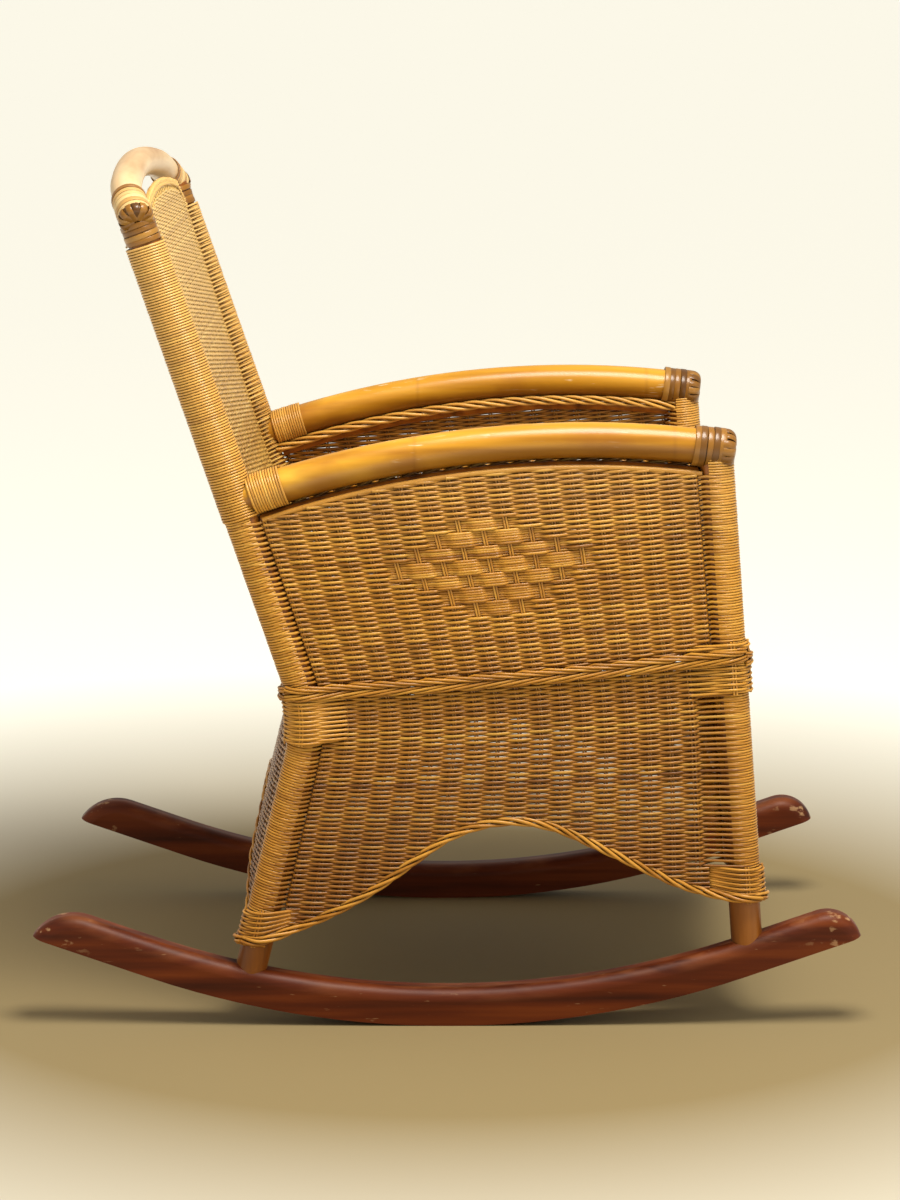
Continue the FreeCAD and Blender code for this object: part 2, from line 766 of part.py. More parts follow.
def side_braid():
    """Plait on the outside of the weave along the seat line."""
    braid_t = 2 * reed_d
    outside = -(panel_y + panel_t / 2 + braid_t / 2)
    low = seat_line(-braid_h / 2, outside)
    high = seat_line(braid_h / 2, outside)
    edges = [arc(*low), line(low[2], high[2]), arc(*reversed(high)), line(high[0], low[0])]
    return sheet(edges, across, braid_t).cut(right_outers)


seat_braid_side = side_braid()


def front_at(u, v):
    """Point of the front skirt's middle plane: Y and height."""
    return Vector(front_axis(v).x + panel_out / front_up.z, u, v)


def rear_at(u, v):
    return Vector(rear_bend_x - leg_slope * (rear_bend_z - v) - panel_out / leg_up.z, u, v)


def cross_skirt(at, normal, leg_hem_z, top_z):
    """Skirt across the chair between two legs, with the braid along its hem."""
    half = hem_half(side_y, hem_crest_z - leg_hem_z, hem_cross_crest_r, hem_cross_sweep_r, 0.0)
    hem = hem_edges(at, (0.0, hem_crest_z), half, half)
    braid = pipe(hem, hem_r).cut(all_outers)
    corners = [at(-side_y, leg_hem_z), at(side_y, leg_hem_z), at(side_y, top_z), at(-side_y, top_z)]
    sides = [line(corners[1], corners[2]), line(corners[2], corners[3]), line(corners[3], corners[0])]
    skirt = sheet(hem + sides, normal, panel_t).cut(all_outers + [braid])
    return skirt, braid


front_ahead = Vector(front_up.z, 0, -front_up.x)
leg_behind = Vector(-leg_up.z, 0, leg_up.x)
front_skirt, hem_braid_front = cross_skirt(front_at, front_ahead, hem_front_z, seat_front_z)
rear_skirt_bend = bend_low + leg_behind * panel_out
rear_skirt, hem_braid_rear = cross_skirt(rear_at, leg_behind, hem_rear_z, rear_skirt_bend.z)


def bent_strip(low, high, near, far):
    """Strip across the chair that follows the bend of the rear posts, between two distances behind their line."""
    centre = Vector(bend_centre.x, 0, bend_centre.z)

    def at(z, behind):
        axis = rear_axis(z)
        out = (Vector(axis.x, 0, axis.z) - centre).normalize()
        return centre + out * (rear_bend_r - behind)

    middle = (low + high) / 2
    edges = [
        arc(at(low, near), at(middle, near), at(high, near)),
        line(at(high, near), at(high, far)),
        arc(at(high, far), at(middle, far), at(low, far)),
        line(at(low, far), at(low, near)),
    ]
    return sheet(edges, across, 2 * side_y).cut(all_outers)


def front_braid():
    """Plait across the outside of the front skirt, at its top."""
    middle = front_ahead * (panel_t / 2 + reed_d)
    corners = []
    for u, v in ((-side_y, -braid_h), (side_y, -braid_h), (side_y, 0.0), (-side_y, 0.0)):
        corners.append(front_at(u, seat_front_z + v) + middle)
    edges = [line(corners[i], corners[(i + 1) % 4]) for i in range(4)]
    return sheet(edges, front_ahead, 2 * reed_d).cut(all_outers)


skirt_inside = panel_out - panel_t / 2
skirt_outside = panel_out + panel_t / 2
rear_skirt = rear_skirt.fuse(bent_strip(bend_low.z, rear_band_top, skirt_inside, skirt_outside)).removeSplitter()
seat_braid_rear = bent_strip(rear_band_top - braid_h, rear_band_top, skirt_outside, skirt_outside + 2 * reed_d)
seat_braid_front = front_braid()

border_edges = arch_edges(back_at, border_end_v, border_arch)
back_border = pipe(border_edges, border_r).cut(all_outers)
back_foot_v = (seat_rear_z + seat_rail_r / 2 - rear_bend_z) / back_up.z
back_corners = [
    back_at(border_half, border_end_v),
    back_at(side_y, border_end_v),
    back_at(side_y, back_foot_v),
    back_at(-side_y, back_foot_v),
    back_at(-side_y, border_end_v),
    back_at(-border_half, border_end_v),
]
back_sides = [line(back_corners[i], back_corners[i + 1]) for i in range(5)]
back_sheet = sheet(border_edges + back_sides, back_ahead, panel_t)


def back_valleys():
    """Valleys between the ribs on both faces of the back."""
    run = back_up * (top_rail_z - seat_rear_z) * (1 / back_up.z)
    valleys = []
    for start, end in valley_spans(back_stakes, side_spacing):
        for way in (-1, 1):
            crest = back_ahead * (way * panel_t / 2)
            floor = crest - back_ahead * (way * rib_h)
            corners = []
            for share, lift in ((start, crest), ((start + end) / 2, floor), (end, crest)):
                corners.append(back_at(side_spacing * share - side_y, back_foot_v) + lift)
            valleys.append(Part.Face(Part.makePolygon(corners + corners[:1])).extrude(run))
    return valleys


back_panel = back_sheet.cut(back_valleys())
back_panel = back_panel.cut(all_outers + both(arm_pole) + both(arm_braid) + both(under_rail))
back_panel = back_panel.cut([back_border, seat_rail_rear] + both(bearer))


def seat_weave():
    """Woven seat on the front and rear rails, rolled over the front rail."""
    front = Vector(front_rail_x, 0, seat_front_z)
    rear = Vector(rear_rail_x, 0, seat_rear_z)
    to_back = (back_at(0, 0) - rear - seat_up * seat_rail_r).dot(back_ahead)
    rear = rear + seat_ahead * (to_back / seat_ahead.dot(back_ahead))
    inner = seat_rail_r
    outer = seat_rail_r + panel_t
    nose = front_ahead
    half_turn = (nose + seat_up).normalize()
    edges = [
        line(rear + seat_up * inner, front + seat_up * inner),
        arc(front + seat_up * inner, front + half_turn * inner, front + nose * inner),
        line(front + nose * inner, front + nose * outer),
        arc(front + nose * outer, front + half_turn * outer, front + seat_up * outer),
        line(front + seat_up * outer, rear + seat_up * outer),
        line(rear + seat_up * outer, rear + seat_up * inner),
    ]
    width = 2 * (panel_y - panel_t / 2 - seat_gap)
    weave = sheet(edges, across, width)
    return weave.cut(all_outers + [back_sheet, front_skirt])


seat_panel = seat_weave()
back_panel = back_panel.cut(seat_panel)
arm_panel = arm_panel.cut(seat_panel)


# Screws and the holes that they need


def screw(surface, way):
    """Countersunk screw that starts below this point of a surface, and the hole over its head."""
    head = surface + way * screw_recess
    neck = head + way * screw_head_h
    cone = Part.makeCone(screw_head_d / 2, screw_d / 2, screw_head_h, head, way)
    shank = rod(neck, head + way * screw_length, screw_d / 2)
    access = rod(head - way * (4 * screw_recess), head, screw_head_d / 2 + fit_gap)
    return cone.fuse(shank).removeSplitter(), access


def rocker_screw(foot, up):
    """Up through the rocker into a leg."""
    below = foot - up * rocker_h
    below = below - up * (below.z - rocker_height(below.x, 0.0)) * (1 / up.z)
    return screw(below, up)


front_screw, front_access = rocker_screw(front_foot, front_up)
rear_screw, rear_access = rocker_screw(rear_foot, leg_up)
arm_screw, arm_access = screw(arm_front + front_up * arm_r, front_up * -1)
post_screw, post_access = screw(rear_axis(arm_rear.z) - back_ahead * pole_r, back_ahead)
rail_screw, rail_access = screw(post_top + back_up * top_rail_r, back_up * -1)
screws = [front_screw, rear_screw, arm_screw, post_screw, rail_screw]
accesses = [front_access, rear_access, arm_access, post_access, rail_access]
holes = screws + accesses


# Fitted poles

front_foot_tenon = rod(front_foot - front_up * foot_tenon_depth, front_foot + front_up * pole_r, foot_tenon_d / 2)
rear_foot_tenon = rod(rear_foot - leg_up * foot_tenon_depth, rear_foot + leg_up * pole_r, foot_tenon_d / 2)
front_socket = rod(front_foot - front_up * foot_tenon_depth, front_foot + front_up * pole_r,
                   foot_tenon_d / 2 + fit_gap)
rear_socket = rod(rear_foot - leg_up * foot_tenon_depth, rear_foot + leg_up * pole_r, foot_tenon_d / 2 + fit_gap)
rocker = rocker.cut([front_socket, rear_socket] + holes)
post_tenon = arm_post_tenon.common(front_pole)
front_post = front_pole.cut([rocker_shape, arm_pole]).fuse([front_foot_tenon, post_tenon]).removeSplitter()
front_post = front_post.cut(right_rails + holes)
rear_post = rear_pole.cut([rocker_shape, top_rail]).fuse(rear_foot_tenon).removeSplitter()
rear_post = rear_post.cut(right_rails + [arm_rear_tenon] + holes)
arm_socket = rod(arm_front - front_up * 2 * arm_r, arm_front + front_up * fit_gap, arm_tenon_d / 2 + fit_gap)
arm_rail = arm_rail.cut([arm_socket] + holes)
arm_front_cap = arm_cap_outer.cut([arm_pole, front_pole])
front_wrap_upper = front_post_outer.cut([front_pole, arm_cap_outer, arm_pole, under_rail] + right_rails)
front_wrap_lower = front_leg_outer.cut([front_pole] + right_rails)
rear_wrap_upper = rear_post_outer.cut([rear_pole, arm_rear_tenon] + right_rails)
rear_wrap_lower = rear_leg_outer.cut([rear_pole] + right_rails)
top_rail = top_rail.cut(both(rail_screw) + both(rail_access))

keep_pair("rocker", rocker)
keep_pair("front_post", front_post)
keep_pair("rear_post", rear_post)
keep_pair("arm_rail", arm_rail)
keep_pair("arm_under_rail", under_rail)
keep("top_rail", top_rail)
keep("seat_rail_front", seat_rail_front)
keep("seat_rail_rear", seat_rail_rear)
keep_pair("seat_rail", side_rail)
keep_pair("seat_bearer", bearer)
keep("leg_stretcher_front", leg_stretcher_front)
keep("leg_stretcher_rear", leg_stretcher_rear)
keep_pair("arm_panel", arm_panel)
keep_pair("side_skirt", side_skirt)
keep("front_skirt", front_skirt)
keep("rear_skirt", rear_skirt)
keep("back_panel", back_panel)
keep("seat_panel", seat_panel)
keep_pair("seat_braid", seat_braid_side)
keep("seat_braid_front", seat_braid_front)
keep("seat_braid_rear", seat_braid_rear)
keep_pair("hem_braid", hem_braid_side)
keep("hem_braid_front", hem_braid_front)
keep("hem_braid_rear", hem_braid_rear)
keep_pair("arm_braid", arm_braid)
keep("back_border", back_border)
keep_pair("rear_post_wrap", rear_wrap_upper)
keep_pair("rear_leg_wrap", rear_wrap_lower)
keep_pair("front_post_wrap", front_wrap_upper)
keep_pair("front_leg_wrap", front_wrap_lower)
keep_pair("arm_rear_binding", binding)
keep_pair("arm_front_cap", arm_front_cap)
keep_pair("top_rail_cap", top_rail_cap)
keep_pair("top_rail_binding", top_rail_binding)
keep_pair("post_top_sleeve", post_top_sleeve)
keep("rocker_screws", Part.makeCompound(both(front_screw) + both(rear_screw)))
keep("arm_screws", Part.makeCompound(both(arm_screw) + both(post_screw)))
keep("top_rail_screws", Part.makeCompound(both(rail_screw)))

os.makedirs("parts", exist_ok=True)
for name, shape in nodes.items():
    solids = shape.Solids
    volume = sum(solid.Volume for solid in solids)
    print(name, len(solids), "solid", round(volume / 1000, 1), "cm3", "valid" if shape.isValid() else "NOT VALID")
    shape.exportStep("parts/" + name + ".step")
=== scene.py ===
# %% [markdown]
# # A rattan rocking chair
#
# The chair is a frame of bent rattan poles on two bow rockers. Reed is woven between the poles, plaited
# along the edges and wound round the posts. The frame comes from the CAD model, which fixes every size.
# This script gives the poles their finish, and replaces each plain CAD panel, braid and sleeve by the
# reeds that it stands for.
#
# Blender works in metres here. X runs forward, Y to the sitter's left and Z up.

# %% Load the frame
import math

import bpy
import numpy as np
from mathutils import Matrix, Vector


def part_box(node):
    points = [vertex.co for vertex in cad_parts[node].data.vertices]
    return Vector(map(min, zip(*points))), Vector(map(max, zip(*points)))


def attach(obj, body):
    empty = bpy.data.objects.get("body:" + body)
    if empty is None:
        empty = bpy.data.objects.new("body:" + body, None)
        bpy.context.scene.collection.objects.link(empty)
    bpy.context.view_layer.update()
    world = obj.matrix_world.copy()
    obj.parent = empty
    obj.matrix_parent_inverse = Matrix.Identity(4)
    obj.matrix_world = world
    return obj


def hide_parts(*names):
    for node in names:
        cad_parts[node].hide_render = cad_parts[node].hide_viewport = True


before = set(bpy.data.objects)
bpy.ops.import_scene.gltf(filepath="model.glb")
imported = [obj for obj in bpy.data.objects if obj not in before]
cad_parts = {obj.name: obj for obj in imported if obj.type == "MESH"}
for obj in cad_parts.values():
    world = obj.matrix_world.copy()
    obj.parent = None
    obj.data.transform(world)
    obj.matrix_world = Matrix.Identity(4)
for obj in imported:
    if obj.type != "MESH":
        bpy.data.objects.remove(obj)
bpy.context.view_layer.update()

dice = np.random.default_rng(7)
print("nodes in the frame:", len(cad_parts))

# %% [markdown]
# ## The camera
#
# The photograph was taken from the right hand side with a long lens, a little above the arms and looking
# slightly down. A camera can be aimed by hand until the picture fits, or set from a few measured angles.
# Angles are used here, because they put the lines of the render on those of the photograph and keep them
# there.

# %% Camera at the photograph's place
image_height = 1200
focal_pixels = 3560.0
camera_place = (-0.0052, -4.0769, 1.1712)
camera_pitch = math.radians(10.362)
camera_yaw = math.radians(0.129)

bpy.ops.object.camera_add(location=camera_place, rotation=(math.pi / 2 - camera_pitch, 0, -camera_yaw))
camera = bpy.context.object
camera.data.sensor_width = 36.0
camera.data.lens = focal_pixels / image_height * camera.data.sensor_width
bpy.context.scene.camera = camera
print("lens", round(camera.data.lens, 1), "mm")

# %% [markdown]
# ## Finishes from nodes
#
# Every finish here is a small graph of nodes. Most start from a noise texture on object coordinates.
# Stretching the noise along one axis turns spots into grain. A colour ramp turns the noise into two or
# three close colours. The helpers below hold these steps, so that each finish further down reads as a
# short recipe.

# %% Helpers for finishes


def shade(red, green, blue):
    """Linear colour from the 0 to 255 values of a paint chart."""
    parts = []
    for part in (red, green, blue):
        value = part / 255
        parts.append(value / 12.92 if value <= 0.04045 else ((value + 0.055) / 1.055) ** 2.4)
    return (*parts, 1.0)


def new_finish(name, roughness, coat=0.0):
    """A material, its node tree and its shader."""
    finish = bpy.data.materials.new(name)
    finish.use_nodes = True
    shader = finish.node_tree.nodes["Principled BSDF"]
    shader.inputs["Roughness"].default_value = roughness
    shader.inputs["Coat Weight"].default_value = coat
    shader.inputs["Coat Roughness"].default_value = 0.18
    shader.inputs["Specular IOR Level"].default_value = 0.35
    return finish, finish.node_tree, shader


def object_place(tree):
    return tree.nodes.new("ShaderNodeTexCoord").outputs["Object"]


def split(tree, place):
    node = tree.nodes.new("ShaderNodeSeparateXYZ")
    tree.links.new(place, node.inputs["Vector"])
    return node.outputs["X"], node.outputs["Y"], node.outputs["Z"]


def stretched_noise(tree, place, scale, detail=4.0):
    """Noise whose spots are scaled differently along each axis."""
    mapping = tree.nodes.new("ShaderNodeMapping")
    mapping.inputs["Scale"].default_value = scale
    noise = tree.nodes.new("ShaderNodeTexNoise")
    noise.inputs["Scale"].default_value = 1.0
    noise.inputs["Detail"].default_value = detail
    tree.links.new(place, mapping.inputs["Vector"])
    tree.links.new(mapping.outputs["Vector"], noise.inputs["Vector"])
    return noise.outputs["Fac"]


def ramp(tree, value, *stops):
    """Colours at places of a value from 0 to 1."""
    node = tree.nodes.new("ShaderNodeValToRGB")
    elements = node.color_ramp.elements
    while len(elements) < len(stops):
        elements.new(0.5)
    for element, (place, colour) in zip(elements, stops):
        element.position = place
        element.color = colour
    tree.links.new(value, node.inputs["Fac"])
    return node.outputs["Color"]


def window(tree, value, low, high):
    """A value mapped to run from 0 at low to 1 at high."""
    node = tree.nodes.new("ShaderNodeMapRange")
    node.inputs["From Min"].default_value = low
    node.inputs["From Max"].default_value = high
    tree.links.new(value, node.inputs["Value"])
    return node.outputs["Result"]


def math_node(tree, operation, first, second):
    """Two values, each a socket or a number, joined by one operation."""
    node = tree.nodes.new("ShaderNodeMath")
    node.operation = operation
    for socket, value in zip(node.inputs, (first, second)):
        if isinstance(value, (int, float)):
            socket.default_value = value
        else:
            tree.links.new(value, socket)
    return node.outputs["Value"]


def mixed(tree, amount, first, second, blend="MIX"):
    """Two colours, each a socket or a fixed colour, mixed by an amount."""
    node = tree.nodes.new("ShaderNodeMix")
    node.data_type = "RGBA"
    node.blend_type = blend
    sockets = {socket.identifier: socket for socket in node.inputs}
    for key, value in (("Factor_Float", amount), ("A_Color", first), ("B_Color", second)):
        if isinstance(value, (int, float, tuple)):
            sockets[key].default_value = value
        else:
            tree.links.new(value, sockets[key])
    return [socket for socket in node.outputs if socket.identifier == "Result_Color"][0]


def bumped(tree, shader, height, strength, distance):
    """Fine relief on the shader from a height."""
    node = tree.nodes.new("ShaderNodeBump")
    node.inputs["Strength"].default_value = strength
    node.inputs["Distance"].default_value = distance
    tree.links.new(height, node.inputs["Height"])
    tree.links.new(node.outputs["Normal"], shader.inputs["Normal"])


# %% [markdown]
# ## Floor and light
#
# A plain pale floor catches the shadow of the rockers. It is so large that it fills the picture. Like a paper
# backdrop it is paler further away, and there it also glows with painted light, as a lit backdrop looks. One
# soft lamp hangs near, above the side that the camera sees. Because it is near, the top of the chair is
# brighter than its skirts, and because it is high, each row of the weave has a bright upper side. A second
# lamp fills the shadows from the front. The sky is a plain warm white.

# %% Floor, sky and lamps
bpy.ops.mesh.primitive_plane_add(size=400)
floor = bpy.context.object
floor.name = "floor"
floor_paint_and_glow, tree, shader = new_finish("floor_paint_and_glow", 0.7)
distance = tree.nodes.new("ShaderNodeVectorMath")
distance.operation = "LENGTH"
tree.links.new(object_place(tree), distance.inputs[0])
away = window(tree, distance.outputs["Value"], 0.6, 1.7)
tree.links.new(mixed(tree, away, shade(152, 134, 94), shade(248, 246, 232)), shader.inputs["Base Color"])
# Painted light: further away from the chair the floor glows, to look like a lit backdrop.
shader.inputs["Emission Color"].default_value = (1.0, 0.99, 0.91, 1)
tree.links.new(math_node(tree, "MULTIPLY", away, 0.52), shader.inputs["Emission Strength"])
floor.data.materials.append(floor_paint_and_glow)

sky = bpy.data.worlds.new("studio")
bpy.context.scene.world = sky
sky.use_nodes = True
sky.node_tree.nodes["Background"].inputs["Color"].default_value = (1.0, 0.95, 0.84, 1)
sky.node_tree.nodes["Background"].inputs["Strength"].default_value = 0.48


def lamp(name, place, aim, size, power):
    """Square soft lamp at a place, pointing at another."""
    way = Vector(aim) - Vector(place)
    turn = way.to_track_quat("-Z", "Y").to_euler()
    bpy.ops.object.light_add(type="AREA", location=place, rotation=turn)
    light = bpy.context.object
    light.name = name
    light.data.size = size
    light.data.energy = power
    light.data.color = (1.0, 0.95, 0.86)


lamp("key_lamp", (0.35, -0.88, 2.45), (0.0, -0.15, 0.5), 1.0, 63)
lamp("fill_lamp", (2.6, -1.8, 1.9), (0.0, 0.0, 0.45), 2.0, 9)
bpy.context.scene.view_settings.view_transform = "Standard"

# %% [markdown]
# ## Reed
#
# Reed is the core of the rattan vine, drawn to an even thickness and varnished here to a golden honey. No
# two reeds have the same tone, and each one has darker and lighter stretches along its length. The reeds
# below carry two attributes on their points: tone, one number for the whole reed, and along, the distance
# from its start. Noise that reads these two follows each reed round every bend, which object coordinates
# can't do.

# %% Reed finish


def attribute(tree, name):
    node = tree.nodes.new("ShaderNodeAttribute")
    node.attribute_name = name
    return node.outputs["Fac"]


def shade_in_gaps(tree, reach):
    """How open a surface is, from 0 between reeds to 1 on open surfaces, for painting shade."""
    node = tree.nodes.new("ShaderNodeAmbientOcclusion")
    node.samples = 4
    node.inputs["Distance"].default_value = reach
    return node.outputs["AO"]


def reed_finish(name, dark, middle, light, roughness=0.36, coat=0.15, gap=0.006, bleach_and_light=0.45,
                low_shade=(0.86, 0.78, 0.70)):
    """Varnished reed.

    Each reed has a tone, and stretches of darker and lighter colour. Painted shade darkens the gaps up to
    this wide, and all of a reed of tone 0. The top of the chair is paler, partly from bleaching and partly
    as painted light, and towards the hem the reed is darkened with painted shade."""
    finish, tree, shader = new_finish(name, roughness, coat)
    tone = attribute(tree, "tone")
    strip = tree.nodes.new("ShaderNodeCombineXYZ")
    tree.links.new(attribute(tree, "along"), strip.inputs["X"])
    tree.links.new(tone, strip.inputs["Y"])
    stretch = stretched_noise(tree, strip.outputs["Vector"], (14.0, 60.0, 1.0), 3.0)
    own = math_node(tree, "MULTIPLY", tone, 0.6)
    local = math_node(tree, "MULTIPLY", stretch, 0.4)
    value = math_node(tree, "ADD", own, local)
    colour = ramp(tree, value, (0.25, dark), (0.5, middle), (0.78, light))
    fleck = stretched_noise(tree, strip.outputs["Vector"], (260.0, 400.0, 1.0), 2.0)
    colour = mixed(tree, math_node(tree, "MULTIPLY", window(tree, fleck, 0.62, 0.75), 0.35), colour, dark)
    z = split(tree, object_place(tree))[2]
    blotch = stretched_noise(tree, object_place(tree), (16.0, 16.0, 16.0), 3.0)
    colour = mixed(tree, math_node(tree, "MULTIPLY", window(tree, blotch, 0.5, 0.8), 0.5), colour, dark)
    # Paler towards the top of the chair: partly bleaching, partly painted light.
    bleached_and_lit = math_node(tree, "MULTIPLY", window(tree, z, 0.52, 0.95), bleach_and_light)
    colour = mixed(tree, bleached_and_lit, colour, shade(240, 208, 140))
    # Painted shade: the reed is darker towards the hem.
    colour = mixed(tree, window(tree, z, 0.44, 0.10), colour, (*low_shade, 1.0), "MULTIPLY")
    # Painted shade: the gaps between reeds are darkened, and so is all of a reed of tone 0.
    painted_shade = math_node(tree, "MULTIPLY", window(tree, shade_in_gaps(tree, gap), 0.78, 0.22), 0.85)
    painted_shade = math_node(tree, "MAXIMUM", painted_shade, window(tree, tone, 0.02, 0.0))
    colour = mixed(tree, painted_shade, colour, shade(66, 32, 6))
    tree.links.new(colour, shader.inputs["Base Color"])
    bumped(tree, shader, fleck, 0.2, 0.0003)
    return finish


# Honey reed gets a strong painted shade towards the hem.
honey_reed = reed_finish("honey_reed", shade(138, 85, 19), shade(193, 132, 40), shade(220, 168, 66),
                         low_shade=(0.56, 0.45, 0.35))
golden_reed = reed_finish("golden_reed", shade(160, 104, 28), shade(214, 153, 54), shade(236, 186, 86))
dark_cane = reed_finish("dark_cane", shade(80, 46, 10), shade(146, 98, 32), shade(214, 166, 84), 0.32, 0.25,
                        0.003, 0.0)
pale_cane = reed_finish("pale_cane", shade(140, 96, 44), shade(204, 158, 92), shade(238, 208, 146),
                        bleach_and_light=0.0)
# The back's reed is paler, partly bleaching and partly painted light, with painted shade in narrower gaps.
bleached_and_lit_reed = reed_finish("bleached_and_lit_reed", shade(166, 116, 48), shade(208, 160, 76), shade(230, 192, 108),
                            gap=0.0035, bleach_and_light=0.5)
print("reed finishes:", honey_reed.name, golden_reed.name, bleached_and_lit_reed.name, dark_cane.name, pale_cane.name)

# %% [markdown]
# ## Reeds as curves
#
# A reed is a long thin round bar that bends. A curve object with a round bevel is the natural tool: it
# holds many splines, each spline is one reed, and one conversion turns them all into a mesh. A low bevel
# resolution gives each reed six sides, which is plenty at three millimetres thick and keeps a whole panel
# light. The back has the most reeds, so there they have four sides. After the conversion the points of
# the end caps come first, last reed first, and then the rings of the reeds in order, so tone and along
# can be filled in one go.

# %% A piece made of reeds
reed = 0.0032           # thickness of a reed of the weave
row_pitch = 0.00274     # from one row of a weave to the next


def ready_piece(piece, finish, nodes):
    """Give the piece its finish, and let it stand for its CAD nodes."""
    piece.data.materials.clear()
    piece.data.materials.append(finish)
    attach(piece, "root")
    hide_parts(*nodes)


def drawn_curve(lines, depth, resolution, caps=False):
    """A curve with a round bevel, and one spline for each list of points with its radii."""
    bpy.ops.object.select_all(action="DESELECT")
    bpy.ops.curve.primitive_nurbs_path_add()
    curve = bpy.context.object.data
    curve.splines.clear()
    curve.bevel_depth = depth
    curve.bevel_resolution = resolution
    curve.use_fill_caps = caps
    for points, radii in lines:
        spline = curve.splines.new("POLY")
        spline.points.add(len(points) - 1)
        spline.points.foreach_set("co", np.column_stack([points, np.ones(len(points))]).ravel())
        spline.points.foreach_set("radius", np.zeros(len(points)) + radii)
    return bpy.context.object


def reed_piece(name, reeds, finish, spread=0.13, dark=0, resolution=1):
    """One piece from reeds, each a list of points and a thickness, for the CAD node of the same name.

    Tones lie this far either side of 0.5, except for as many reeds at the end of the list as dark says: they
    get tone 0, which the finish paints as shade."""
    lines = [(path, thickness / reed) for path, thickness in reeds]
    drawn_curve(lines, reed / 2, resolution, True).name = name
    bpy.ops.object.convert(target="MESH")
    piece = bpy.context.object
    mesh = piece.data
    sides = len(mesh.vertices) // sum(len(path) + 2 for path, thickness in reeds)
    tones = []
    lengths = []
    for i, (path, thickness) in enumerate(reeds):
        steps = np.linalg.norm(np.diff(path, axis=0), axis=1)
        # The last reeds get tone 0, which the finish paints as shade.
        tone = np.clip(dice.normal(0.5, spread), 0, 1) if i < len(reeds) - dark else 0.0
        tones.append(np.full(len(path), tone))
        lengths.append(np.concatenate([[0.0], np.cumsum(steps)]) + 20 * dice.random())
    for key, values in (("tone", tones), ("along", lengths)):
        caps = [end for run in reversed(values) for end in (run[-1], run[0])]
        layer = mesh.attributes.new(key, "FLOAT", "POINT")
        layer.data.foreach_set("value", np.repeat(np.concatenate([caps, *values]), sides))
    bpy.ops.object.shade_smooth()
    ready_piece(piece, finish, [name])
    mesh.calc_loop_triangles()
    print(name, len(reeds), "reeds,", len(mesh.loop_triangles), "triangles")


# %% [markdown]
# ## Lines of the frame
#
# The weave hangs between the posts and the arm, so their middle lines are needed as functions: the
# straight front post, the rear post with its bend at the seat, the bowed arm, and the seat line that the
# side braid follows. The sizes are those of the CAD model, in metres.

# %% Posts, arms and the seat line
hands = ((-1, "right"), (1, "left"))    # sign of Y, and the sitter's hand
side = 0.270            # from the middle of the chair to the middle of a post
pole_r = 0.01725
arm_r = 0.01925
wrap_reed = 0.0029      # thickness of the reed round the posts
wrap_r = pole_r + 0.0032
coil_r = pole_r + wrap_reed / 2
panel_out = 0.009       # from the posts' middle plane out to the middle of a panel
post_gap = 0.0145       # along a panel, from a post's middle line to the pole
front_foot_x = 0.339    # where the front post's middle line meets the floor
front_slope = math.tan(math.radians(4.46))
leg_splay = math.radians(13.8)
back_rake = math.radians(18.8)
leg_slope = math.tan(leg_splay)
bend_x, bend_z, bend_r = -0.147, 0.346, 0.180
bend_run = bend_r * math.tan((back_rake + leg_splay) / 2)
bend_low = bend_z - bend_run * math.cos(leg_splay)
bend_high = bend_z + bend_run * math.cos(back_rake)
bend_mid_z = bend_low + bend_r * math.sin(leg_splay)
bend_mid_x = bend_x - leg_slope * (bend_z - bend_low) - bend_r * math.cos(leg_splay)
arm_crest_x, arm_crest_z, arm_bow_r = 0.151, 0.6505, 1.125
seat_rear_z, seat_front_z = 0.375, 0.416    # heights of the side braid at the posts
seat_rise = 0.041
seat_sag = 0.020


def front_line(z):
    """X of the front post's middle line at a height."""
    return front_foot_x - front_slope * np.asarray(z)


def rear_line(z):
    """X of the bent rear post's middle line at a height."""
    z = np.asarray(z, float)
    leg = bend_x - leg_slope * (bend_z - z)
    back = bend_x - math.tan(back_rake) * (z - bend_z)
    bend = bend_mid_x + np.sqrt(np.maximum(bend_r ** 2 - (z - bend_mid_z) ** 2, 0))
    return np.where(z < bend_low, leg, np.where(z > bend_high, back, bend))


def arm_line(x, drop=0.0):
    """Height of the arm's middle line, or of a line this far below it."""
    return arm_crest_z - arm_bow_r + np.sqrt((arm_bow_r - drop) ** 2 - (np.asarray(x) - arm_crest_x) ** 2)


def seat_line(share):
    """Height of the side braid, from the rear post at 0 to the front post at 1."""
    share = np.asarray(share)
    return seat_rear_z + seat_rise * share - seat_sag * share * (1 - share)


print("arm crest", round(float(arm_line(arm_crest_x)), 3), "seat line", seat_line(np.array([0, 1])))

# %% [markdown]
# ## Plain weave
#
# The panels are in plain weave. Pairs of thin upright stakes stand about 26 mm apart. Each row is one
# reed that runs in front of one pair and behind the next, and the next row does the opposite. A row is
# built from its places in stake pitches: at each pair it is pushed out or in, and between two pairs a
# cosine carries it smoothly from one side to the other. A test decides which stretches of a row lie
# inside the panel, so an arm or an arched hem can cut it.

# %% Rows and stakes of a weave
stake = 0.0026
sway = 0.0024           # how far a row is pushed out of the panel's plane
past_stakes = 0.06      # a row leaves the weave this far past the outermost stakes, in pitches


def stretches(inside):
    """First and last index of each run of true values."""
    steps = np.flatnonzero(np.diff(np.concatenate([[0], inside.astype(int), [0]])))
    return [(a, b - 1) for a, b in zip(steps[::2], steps[1::2]) if b - a > 2]


def eased(places, anchors, values, steep=1.0):
    """Values at the anchors with a cosine between them, which a higher steep squeezes to the middle."""
    anchors, values = np.asarray(anchors), np.asarray(values)
    index = np.clip(np.searchsorted(anchors, places, side="right") - 1, 0, len(anchors) - 2)
    share = (places - anchors[index]) / (anchors[index + 1] - anchors[index])
    ease = (1 - np.cos(math.pi * np.clip((share - 0.5) * steep + 0.5, 0, 1))) / 2
    return values[index] * (1 - ease) + values[index + 1] * ease


